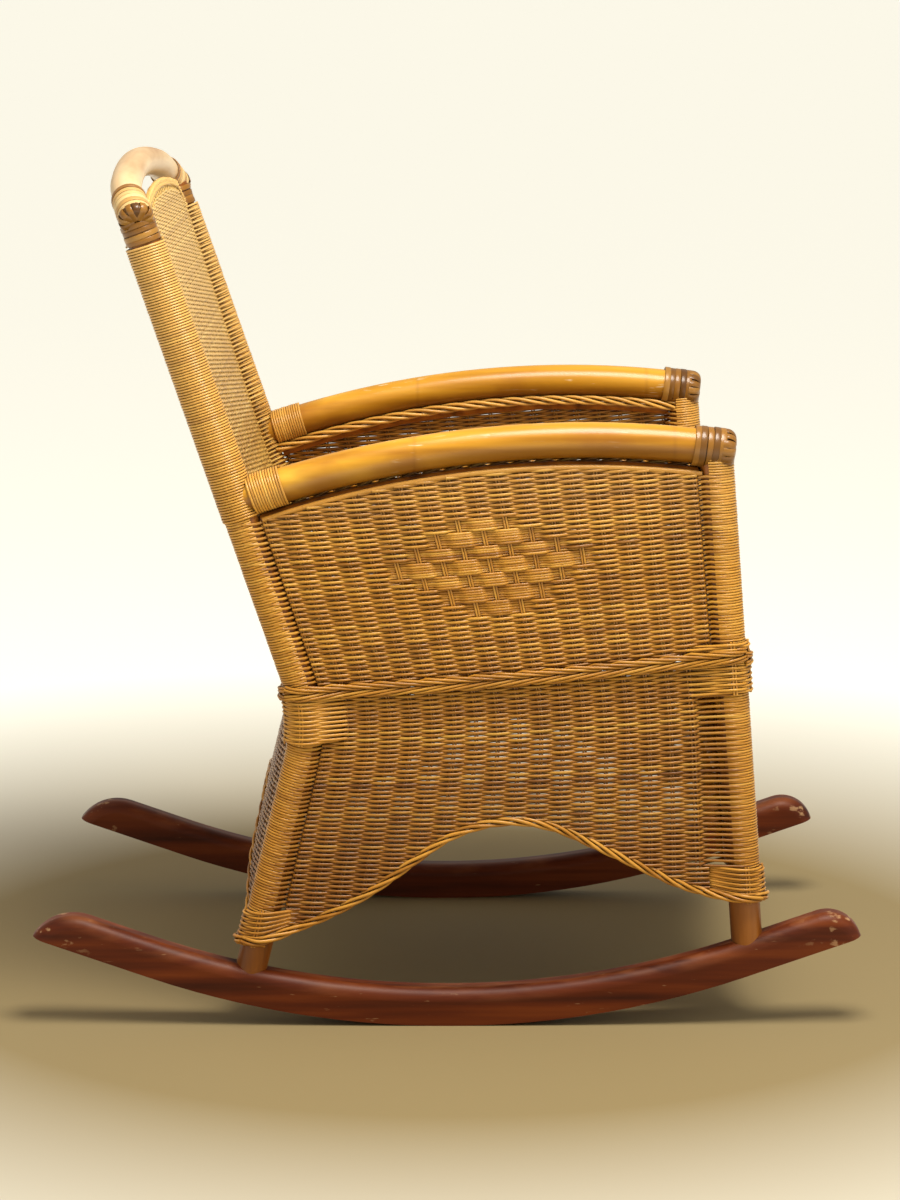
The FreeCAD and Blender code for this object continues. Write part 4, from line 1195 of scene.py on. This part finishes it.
def plait(track, half_width, depth, lead, thickness):
    """Flat plait of three reeds."""
    reach, points, up, out = track
    reeds = []
    for strand in range(3):
        angle = 2 * math.pi * (reach / lead + strand / 3)
        across = half_width * np.sin(angle)
        push = depth * np.sin(2 * angle)
        path = points + up * across[:, None] + out * push[:, None]
        reeds.append((path, thickness))
    return reeds


def half_corner(line, sign, ahead, radius, flat, height, part):
    """Points and outward ways of the half of a corner on the side panel, or of the other half."""
    places, out = corner_way(radius, flat, 41)[1:3]
    keep = slice(0, 21) if part == "side" else slice(20, 41)
    level = np.full(41, height)
    points = corner_points(line, sign, ahead, places, level)
    ways = np.column_stack([ahead * out[:, 0], sign * out[:, 1], np.zeros(41)])
    return points[keep], ways[keep]


def side_track(sign, rear_z, front_z, height, radius, flat):
    """Track along a side, round half of the corner at each end, with heights from a function of X."""
    rear, rear_out = half_corner(rear_line, sign, -1, radius, flat, rear_z, "side")
    front, front_out = half_corner(front_line, sign, 1, radius, flat, front_z, "side")
    x = np.linspace(rear[0, 0], front[0, 0], 200)[1:-1]
    middle = np.column_stack([x, np.full(len(x), sign * (side + flat)), np.zeros(len(x))])
    points = np.vstack([rear[::-1], middle, front])
    points[:, 2] = height(points[:, 0])
    out = np.vstack([rear_out[::-1], np.tile([0, sign, 0], (len(x), 1)), front_out])
    return track_of(points, out)


def cross_track(line, way, leg_z, height, place, radius, flat):
    """Track across the front or rear, round half of the corner at each end."""
    right, right_out = half_corner(line, -1, way, radius, flat, leg_z, "cross")
    left, left_out = half_corner(line, 1, way, radius, flat, leg_z, "cross")
    y = np.linspace(right[-1, 1], left[-1, 1], 200)[1:-1]
    z = height(np.abs(y))
    middle = np.column_stack([place(y, z) + way * flat, y, z])
    points = np.vstack([right, middle, left[::-1]])
    out = np.vstack([right_out, np.tile([way, 0, 0], (len(y), 1)), left_out[::-1]])
    return track_of(points, out)


# %% Braids at the seat
stake_pitch = 0.0262
braid_flat = panel_out + sway + 0.0028
braid_r = pole_r + wrap_reed + 0.0036


def side_braid_height(x):
    rear_x, front_x = float(rear_line(seat_rear_z)), float(front_line(seat_front_z))
    return seat_line(np.clip((x - rear_x) / (front_x - rear_x), -0.05, 1.05))


def front_braid_height(y):
    return 0.397 + 0.015 * np.clip((y - 0.17) / 0.055, 0, 1) ** 2


def rear_braid_height(y):
    return np.full(len(y), 0.367) + 0.006 * np.clip((y - 0.17) / 0.055, 0, 1) ** 2


for sign, hand in hands:
    track = side_track(sign, seat_rear_z, seat_front_z, side_braid_height, braid_r, braid_flat)
    reeds = arrow_braid(track, 0.0074, 0.0023, stake_pitch)
    reed_piece("seat_braid_" + hand, reeds, honey_reed)
for name, line, way, leg_z, height in (("seat_braid_front", front_line, 1, 0.412, front_braid_height),
                                       ("seat_braid_rear", rear_line, -1, 0.373, rear_braid_height)):
    track = cross_track(line, way, leg_z, height, lambda y, z: line(z), braid_r, braid_flat)
    reed_piece(name, arrow_braid(track, 0.0070, 0.0023, stake_pitch), honey_reed)

# %% Hems
hem_rope = dict(strands=4, radius=0.0034, lead=0.100, thickness=0.0040)
hem_flat = panel_out + 0.001
hem_drop = 0.002                # from the edge of the weave to the middle of the rope
hem_turn_r = pole_r + wrap_reed + 0.0035


def side_hem_height(x):
    return side_hem(np.clip(x, float(rear_line(rear_hem_z)), float(front_line(front_hem_z)))) - hem_drop


for sign, hand in hands:
    track = side_track(sign, rear_hem_z, front_hem_z, side_hem_height, hem_turn_r, hem_flat)
    reed_piece("hem_braid_" + hand, rope(track, **hem_rope), golden_reed)
front_track = cross_track(front_line, 1, front_hem_z - hem_drop,
                          lambda y: hem_crest_z - hem_drop - hem_front(y),
                          straight_line, hem_turn_r, hem_flat)
rear_track = cross_track(rear_line, -1, rear_hem_z - hem_drop,
                         lambda y: hem_crest_z - hem_drop - hem_rear(y), bowed_line, hem_turn_r, hem_flat)
for name, track in (("hem_braid_front", front_track), ("hem_braid_rear", rear_track)):
    reed_piece(name, rope(track, **hem_rope), golden_reed)

# %% Ropes inside the arms and the plait along the back
arm_rope = dict(strands=4, radius=0.0040, lead=0.098, thickness=0.0042)
border_plait = dict(half_width=0.0046, depth=0.0026, lead=0.022, thickness=0.0026)
shade_reed = 0.0052
shade_reed_places = ((0.0, 0.0030), (0.0088, 0.0036))     # of the shade reeds, down from the plait and behind it

for sign, hand in hands:
    name = "arm_braid_" + hand
    low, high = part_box(name)
    x = np.linspace(low[0], high[0], 160)
    points = np.column_stack([x, np.full(160, (low[1] + high[1]) / 2), arm_line(x, arm_r + 0.0035)])
    reeds = rope(track_of(points, (0, -sign, 0)), **arm_rope)
    reed_piece(name, reeds, golden_reed)

border_u = np.linspace(-border_half, border_half, 300)
border_v = border_foot_v + border_rise(border_u)
border_points = back_place(border_u, border_v, back_forward(border_v))
border_track = track_of(border_points, back_ahead)
border_reeds = plait(border_track, **border_plait)
points, up, out = border_track[1:]
# Two reeds of tone 0 behind the plait's holes, which the finish paints as shade.
for down, behind in shade_reed_places:
    border_reeds.append((points - down * up - behind * out, shade_reed))
reed_piece("back_border", border_reeds, bleached_and_lit_reed, dark=len(shade_reed_places))

# %% [markdown]
# ## Cane bindings and caps
#
# The ends of the poles are bound with flat cane, the skin of the vine, split into strips. A band round a
# pole is a circle curve that is given a width by extruding it and a thickness by a bevel. A strip that
# folds over the rim of an end is an open curve treated the same way. Under the strips lies a round body,
# a curve with a radius of its own at each point. All parts of one binding are joined into one piece.

# %% Bands, strips and round bodies


def mark(piece, tone):
    """Give a part of a binding one tone."""
    for key, value in (("tone", tone), ("along", dice.random())):
        layer = piece.data.attributes.new(key, "FLOAT", "POINT")
        layer.data.foreach_set("value", np.full(len(piece.data.vertices), value))


def band(middle, axis, radius, width, thickness, tone):
    """Flat band round an axis."""
    bpy.ops.object.select_all(action="DESELECT")
    turn = Vector(axis).to_track_quat("Z", "Y").to_euler()
    bpy.ops.curve.primitive_bezier_circle_add(radius=radius, location=middle, rotation=turn)
    curve = bpy.context.object.data
    curve.extrude = (width - thickness) / 2
    curve.bevel_depth = thickness / 2
    curve.bevel_resolution = 1
    curve.resolution_u = 9
    bpy.ops.object.convert(target="MESH")
    bpy.ops.object.transform_apply(location=True, rotation=True, scale=True)
    mark(bpy.context.object, tone)
    return bpy.context.object


def strip(middle, axis, outward, profile, width, thickness, tone):
    """Flat strip whose profile gives distances along an axis and outward from it."""
    points = np.column_stack([profile, np.zeros(len(profile))])
    piece = drawn_curve([(points, 1.0)], thickness / 2, 0)
    piece.data.extrude = (width - thickness) / 2
    bpy.ops.object.convert(target="MESH")
    piece = bpy.context.object
    axis, outward = Vector(axis).normalized(), Vector(outward).normalized()
    turn = Matrix((axis, outward, axis.cross(outward))).transposed().to_4x4()
    piece.matrix_world = Matrix.Translation(Vector(middle)) @ turn
    bpy.ops.object.transform_apply(location=True, rotation=True, scale=True)
    mark(piece, tone)
    return piece


def body(points, radii, tone):
    """Round body along points, with a radius at each."""
    drawn_curve([(points, radii)], 1.0, 10, True)
    bpy.ops.object.convert(target="MESH")
    mark(bpy.context.object, tone)
    return bpy.context.object


def joined(name, parts, finish):
    """All parts as one piece that stands for the CAD node of the same name."""
    bpy.ops.object.select_all(action="DESELECT")
    for part in parts:
        part.select_set(True)
    bpy.context.view_layer.objects.active = parts[0]
    bpy.ops.object.join()
    bpy.ops.object.shade_smooth_by_angle(angle=math.radians(50))
    piece = bpy.context.object
    piece.name = name
    ready_piece(piece, finish, [name])
    print(name, len(parts), "parts,", len(piece.data.vertices), "points")


def end_profile(radius, rounding, start, steps=7):
    """Distances along and outward of a line that runs to the end of a pole and over its rounded rim."""
    turn = np.linspace(0, math.pi / 2, steps)
    along = np.concatenate([[start], -rounding + rounding * np.sin(turn), [0.0]])
    outward = np.concatenate([[radius], radius - rounding + rounding * np.cos(turn), [0.003]])
    return np.column_stack([along, outward])


def crosswise(axis):
    """Two ways square to an axis and to each other."""
    first = Vector(axis).cross(Vector((0, 0, 1)) if abs(axis[2]) < 0.9 else Vector((0, 1, 0))).normalized()
    return first, Vector(axis).cross(first).normalized()


def fan_strips(end, axis, radius, rounding, start, count, width, tones):
    """Strips folded over the rounded end of a pole, all round it."""
    first, second = crosswise(axis)
    parts = []
    for i in range(count):
        turn = 2 * math.pi * (i + dice.uniform(-0.12, 0.12)) / count
        outward = first * math.cos(turn) + second * math.sin(turn)
        profile = end_profile(radius + dice.uniform(0, 0.0006), rounding, start)
        profile[:, 0] += dice.uniform(0, 0.0006)
        wide = width * dice.uniform(0.85, 1.1)
        parts.append(strip(end, axis, outward, profile, wide, 0.0012, dice.uniform(*tones)))
    return parts


# %% Caps at the front of the arms
cap_rounding = 0.0095
cap_r = arm_r + 0.0016

for sign, hand in hands:
    name = "arm_front_cap_" + hand
    low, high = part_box(name)
    slope = float(arm_line(high[0]) - arm_line(low[0])) / (high[0] - low[0])
    axis = Vector((1, 0, slope)).normalized()
    end = Vector((high[0] - 0.001, sign * side, float(arm_line(high[0]))))
    profile = end_profile(cap_r - 0.0006, cap_rounding, -(high[0] - low[0]) + 0.001)
    points = np.array([end + axis * along for along, outward in profile])
    parts = [body(points, profile[:, 1], 0.25)]
    parts += fan_strips(end, axis, cap_r + 0.0006, cap_rounding, -0.014, 15, 0.0082, (0.2, 0.62))
    tones = (0.6, 0.3, 0.5, 0.22, 0.45)
    band_w = (high[0] - low[0] - 0.012) / len(tones)
    for i, tone in enumerate(tones):
        middle_x = low[0] + (i + 0.5) * band_w
        middle = (middle_x, sign * side, float(arm_line(middle_x)))
        lean = Vector((1, dice.uniform(-0.04, 0.04), slope + dice.uniform(-0.04, 0.04)))
        parts.append(band(middle, lean, cap_r + dice.uniform(0.0002, 0.0011), band_w * 1.08, 0.0018, tone))
    joined(name, parts, dark_cane)

# %% Bindings, caps and sleeves at the top rail
rail_lean = math.radians(29)
rail_up = np.array([-math.sin(rail_lean), 0, math.cos(rail_lean)])
rail_r = 0.017
rail_shoulder_r = 0.140
rail_turn = math.radians(36)
post_top_z = 0.897
post_top = np.array([float(rear_line(post_top_z)), 0, post_top_z])


def rail_point(length, sign):
    """Point of the top rail this far along it from the middle of a post, inward."""
    if length < 0:
        u, v = length * math.cos(rail_turn), length * math.sin(rail_turn)
    else:
        turn = rail_turn - length / rail_shoulder_r
        u = rail_shoulder_r * (math.sin(rail_turn) - math.sin(turn))
        v = rail_shoulder_r * (math.cos(turn) - math.cos(rail_turn))
    return Vector(post_top + rail_up * v + np.array([0, sign * (side - u), 0]))


for sign, hand in hands:
    parts = []
    for i, tone in enumerate((0.75, 0.45, 0.8, 0.7, 0.55, 0.1)):
        length = -0.0122 + (i + 0.5) * 0.006
        axis = rail_point(length + 0.001, sign) - rail_point(length - 0.001, sign)
        radius = rail_r + dice.uniform(0.0008, 0.0014)
        parts.append(band(rail_point(length, sign), axis, radius, 0.0061, 0.0018, tone))
    joined("top_rail_binding_" + hand, parts, pale_cane)

    axis = (rail_point(-0.021, sign) - rail_point(-0.011, sign)).normalized()
    end = rail_point(-0.0215, sign)
    profile = end_profile(rail_r + 0.0008, 0.006, -0.0098)
    points = np.array([end + axis * along for along, outward in profile])
    parts = [body(points, profile[:, 1], 0.32)]
    parts += fan_strips(end, axis, rail_r + 0.0014, 0.006, -0.0098, 13, 0.0072, (0.25, 0.7))
    joined("top_rail_cap_" + hand, parts, dark_cane)

    parts = []
    low_z, high_z = wrap_top + 0.002, post_top_z - rail_r * 0.75
    tones = (0.42, 0.62, 0.36, 0.5)
    band_w = (high_z - low_z) / len(tones)
    for i, tone in enumerate(tones):
        z = low_z + (i + 0.5) * band_w
        middle = (float(rear_line(z)), sign * side, z)
        lean = Vector(back_up) + Vector((dice.uniform(-0.05, 0.05), dice.uniform(-0.05, 0.05), 0))
        parts.append(band(middle, lean, pole_r + dice.uniform(0.0009, 0.0016), band_w * 1.15, 0.0018, tone))
    joined("post_top_sleeve_" + hand, parts, dark_cane)

# %% Bindings at the rear of the arms
binding_turns = 13
binding_reed = 0.0031

for sign, hand in hands:
    name = "arm_rear_binding_" + hand
    low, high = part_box(name)
    start, end = low[0] + 0.003, high[0] - 0.011
    reeds = []
    for i in range(binding_turns):
        angle = np.linspace(0, 2 * math.pi, 28)
        x = start + (end - start) * (i + angle / (2 * math.pi)) / binding_turns
        ring = arm_r + binding_reed / 2 + 0.0001 + dice.uniform(-0.0001, 0.0003)
        slope = (arm_crest_x - x) / np.sqrt(arm_bow_r ** 2 - (x - arm_crest_x) ** 2)
        tilt = np.arctan(slope)
        up = ring * np.cos(angle)
        points = np.column_stack([x - up * np.sin(tilt), sign * (side + ring * np.sin(angle)),
                                  arm_line(x) + up * np.cos(tilt)])
        reeds.append((points, binding_reed))
    reed_piece(name, reeds, golden_reed, 0.1)

# %% [markdown]
# ## Poles, rockers and screws
#
# These pieces keep the CAD shape and only need a finish. The arms are varnished rattan: long streaks, a
# darker ring at each joint of the vine, and white scuffs where hands have worn the varnish. The top rail
# is peeled and pale. The rockers are stained hardwood with grain along their length, and their ends are
# chipped down to the bare wood.

# %% Pole finishes


def pole_finish(name, dark, middle, light, stretch, roughness, coat):
    """Rattan pole with streaks along one axis."""
    finish, tree, shader = new_finish(name, roughness, coat)
    place = object_place(tree)
    streak = stretched_noise(tree, place, stretch, 5.0)
    colour = ramp(tree, streak, (0.3, dark), (0.5, middle), (0.72, light))
    return finish, tree, shader, place, colour


def plain_pole(name, dark, middle, light, stretch, roughness=0.45, coat=0.1):
    finish, tree, shader, place, colour = pole_finish(name, dark, middle, light, stretch, roughness, coat)
    tree.links.new(colour, shader.inputs["Base Color"])
    return finish


def varnished_arm():
    """Golden pole along X with joints and scuffs, and painted shade on the faces that point down."""
    finish, tree, shader, place, colour = pole_finish(
        "varnished_arm", shade(166, 108, 20), shade(208, 148, 36), shade(230, 176, 60),
        (2.2, 38.0, 38.0), 0.32, 0.15)
    x = split(tree, place)[0]
    patch = stretched_noise(tree, place, (9.0, 14.0, 14.0), 3.0)
    colour = mixed(tree, window(tree, patch, 0.56, 0.80), colour, shade(160, 98, 26))
    joint = math_node(tree, "PINGPONG", math_node(tree, "ADD", x, 0.035), 0.14)
    ring = window(tree, joint, 0.0035, 0.0)
    colour = mixed(tree, math_node(tree, "MULTIPLY", ring, 0.18), colour, shade(120, 70, 20))
    scuff = stretched_noise(tree, place, (26.0, 170.0, 210.0), 3.0)
    where = stretched_noise(tree, place, (7.0, 12.0, 12.0), 2.0)
    amount = math_node(tree, "MULTIPLY", window(tree, scuff, 0.63, 0.70), window(tree, where, 0.50, 0.60))
    colour = mixed(tree, math_node(tree, "MULTIPLY", amount, 0.8), colour, shade(242, 226, 190))
    # Painted shade: the faces that point down are darkened, as shade falls under the arm.
    facing = split(tree, tree.nodes.new("ShaderNodeNewGeometry").outputs["Normal"])
    colour = mixed(tree, window(tree, facing[2], 0.45, -0.75), colour, (0.42, 0.34, 0.28, 1.0), "MULTIPLY")
    tree.links.new(colour, shader.inputs["Base Color"])
    return finish


def rocker_finish():
    """Stained hardwood along X, lighter in streaks along the upper edges from wear and painted highlight, and
    chipped at the ends.
    """
    finish, tree, shader = new_finish("stained_rocker", 0.45)
    shader.inputs["Specular IOR Level"].default_value = 0.22
    place = object_place(tree)
    x, y, z = split(tree, place)
    grain = stretched_noise(tree, place, (3.0, 55.0, 55.0), 6.0)
    colour = ramp(tree, grain, (0.28, shade(54, 18, 4)), (0.5, shade(92, 36, 9)), (0.75, shade(124, 57, 17)))
    bow = math_node(tree, "MULTIPLY", math_node(tree, "MULTIPLY", x, x), 0.5)
    height = math_node(tree, "SUBTRACT", z, bow)
    # The upper edges are lightened in streaks: partly wear, partly painted highlight.
    worn = stretched_noise(tree, place, (14.0, 60.0, 60.0), 5.0)
    edge = math_node(tree, "MULTIPLY", window(tree, height, 0.024, 0.041), window(tree, worn, 0.45, 0.75))
    colour = mixed(tree, math_node(tree, "MULTIPLY", edge, 0.7), colour, shade(150, 88, 50))
    far = window(tree, math_node(tree, "ABSOLUTE", x, 0.0), 0.385, 0.445)
    chips = window(tree, stretched_noise(tree, place, (60.0, 90.0, 90.0), 4.0), 0.60, 0.66)
    scars = window(tree, stretched_noise(tree, place, (40.0, 260.0, 260.0), 3.0), 0.70, 0.76)
    chipped = math_node(tree, "MULTIPLY", far, chips)
    scarred = math_node(tree, "MULTIPLY", scars, 0.5)
    amount = math_node(tree, "MAXIMUM", chipped, scarred)
    colour = mixed(tree, math_node(tree, "MULTIPLY", amount, 0.6), colour, shade(208, 166, 120))
    tree.links.new(colour, shader.inputs["Base Color"])
    bumped(tree, shader, grain, 0.15, 0.0006)
    return finish


def post_finish():
    """Pole along Z, darker near the rocker."""
    finish, tree, shader, place, colour = pole_finish(
        "foot_pole", shade(96, 50, 9), shade(146, 84, 20), shade(176, 110, 36), (45.0, 45.0, 5.0), 0.42, 0.2)
    z = split(tree, place)[2]
    low = window(tree, z, 0.085, 0.055)
    colour = mixed(tree, math_node(tree, "MULTIPLY", low, 0.3), colour, shade(110, 54, 16))
    tree.links.new(colour, shader.inputs["Base Color"])
    return finish


def steel():
    finish, tree, shader = new_finish("screw_steel", 0.4)
    shader.inputs["Metallic"].default_value = 1.0
    grime = stretched_noise(tree, object_place(tree), (300.0, 300.0, 300.0), 3.0)
    tree.links.new(ramp(tree, grime, (0.3, (0.25, 0.24, 0.22, 1)), (0.7, (0.55, 0.54, 0.52, 1))),
                   shader.inputs["Base Color"])
    return finish


# %% Finishes on the CAD pieces
inner_pole = plain_pole("inner_pole", shade(150, 96, 40), shade(190, 136, 70), shade(212, 164, 98),
                        (20.0, 20.0, 20.0))
pale_rail = plain_pole("pale_rail", shade(194, 152, 104), shade(222, 188, 140), shade(236, 212, 172),
                       (30.0, 5.0, 30.0), 0.4, 0.25)
finish_of = {
    "rocker": rocker_finish(), "front_post": post_finish(), "arm_rail": varnished_arm(),
    "top_rail": pale_rail, "rocker_screws": steel(),
}
# The rod under the arm takes the darker finish of the posts, which partly paints the shade under the arm.
finish_of["rear_post"] = finish_of["arm_under_rail"] = finish_of["front_post"]
finish_of["arm_screws"] = finish_of["top_rail_screws"] = finish_of["rocker_screws"]
for name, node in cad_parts.items():
    plain_name = name.removesuffix("_left").removesuffix("_right")
    node.data.materials.clear()
    node.data.materials.append(finish_of.get(plain_name, inner_pole))
print("finishes:", len(bpy.data.materials))
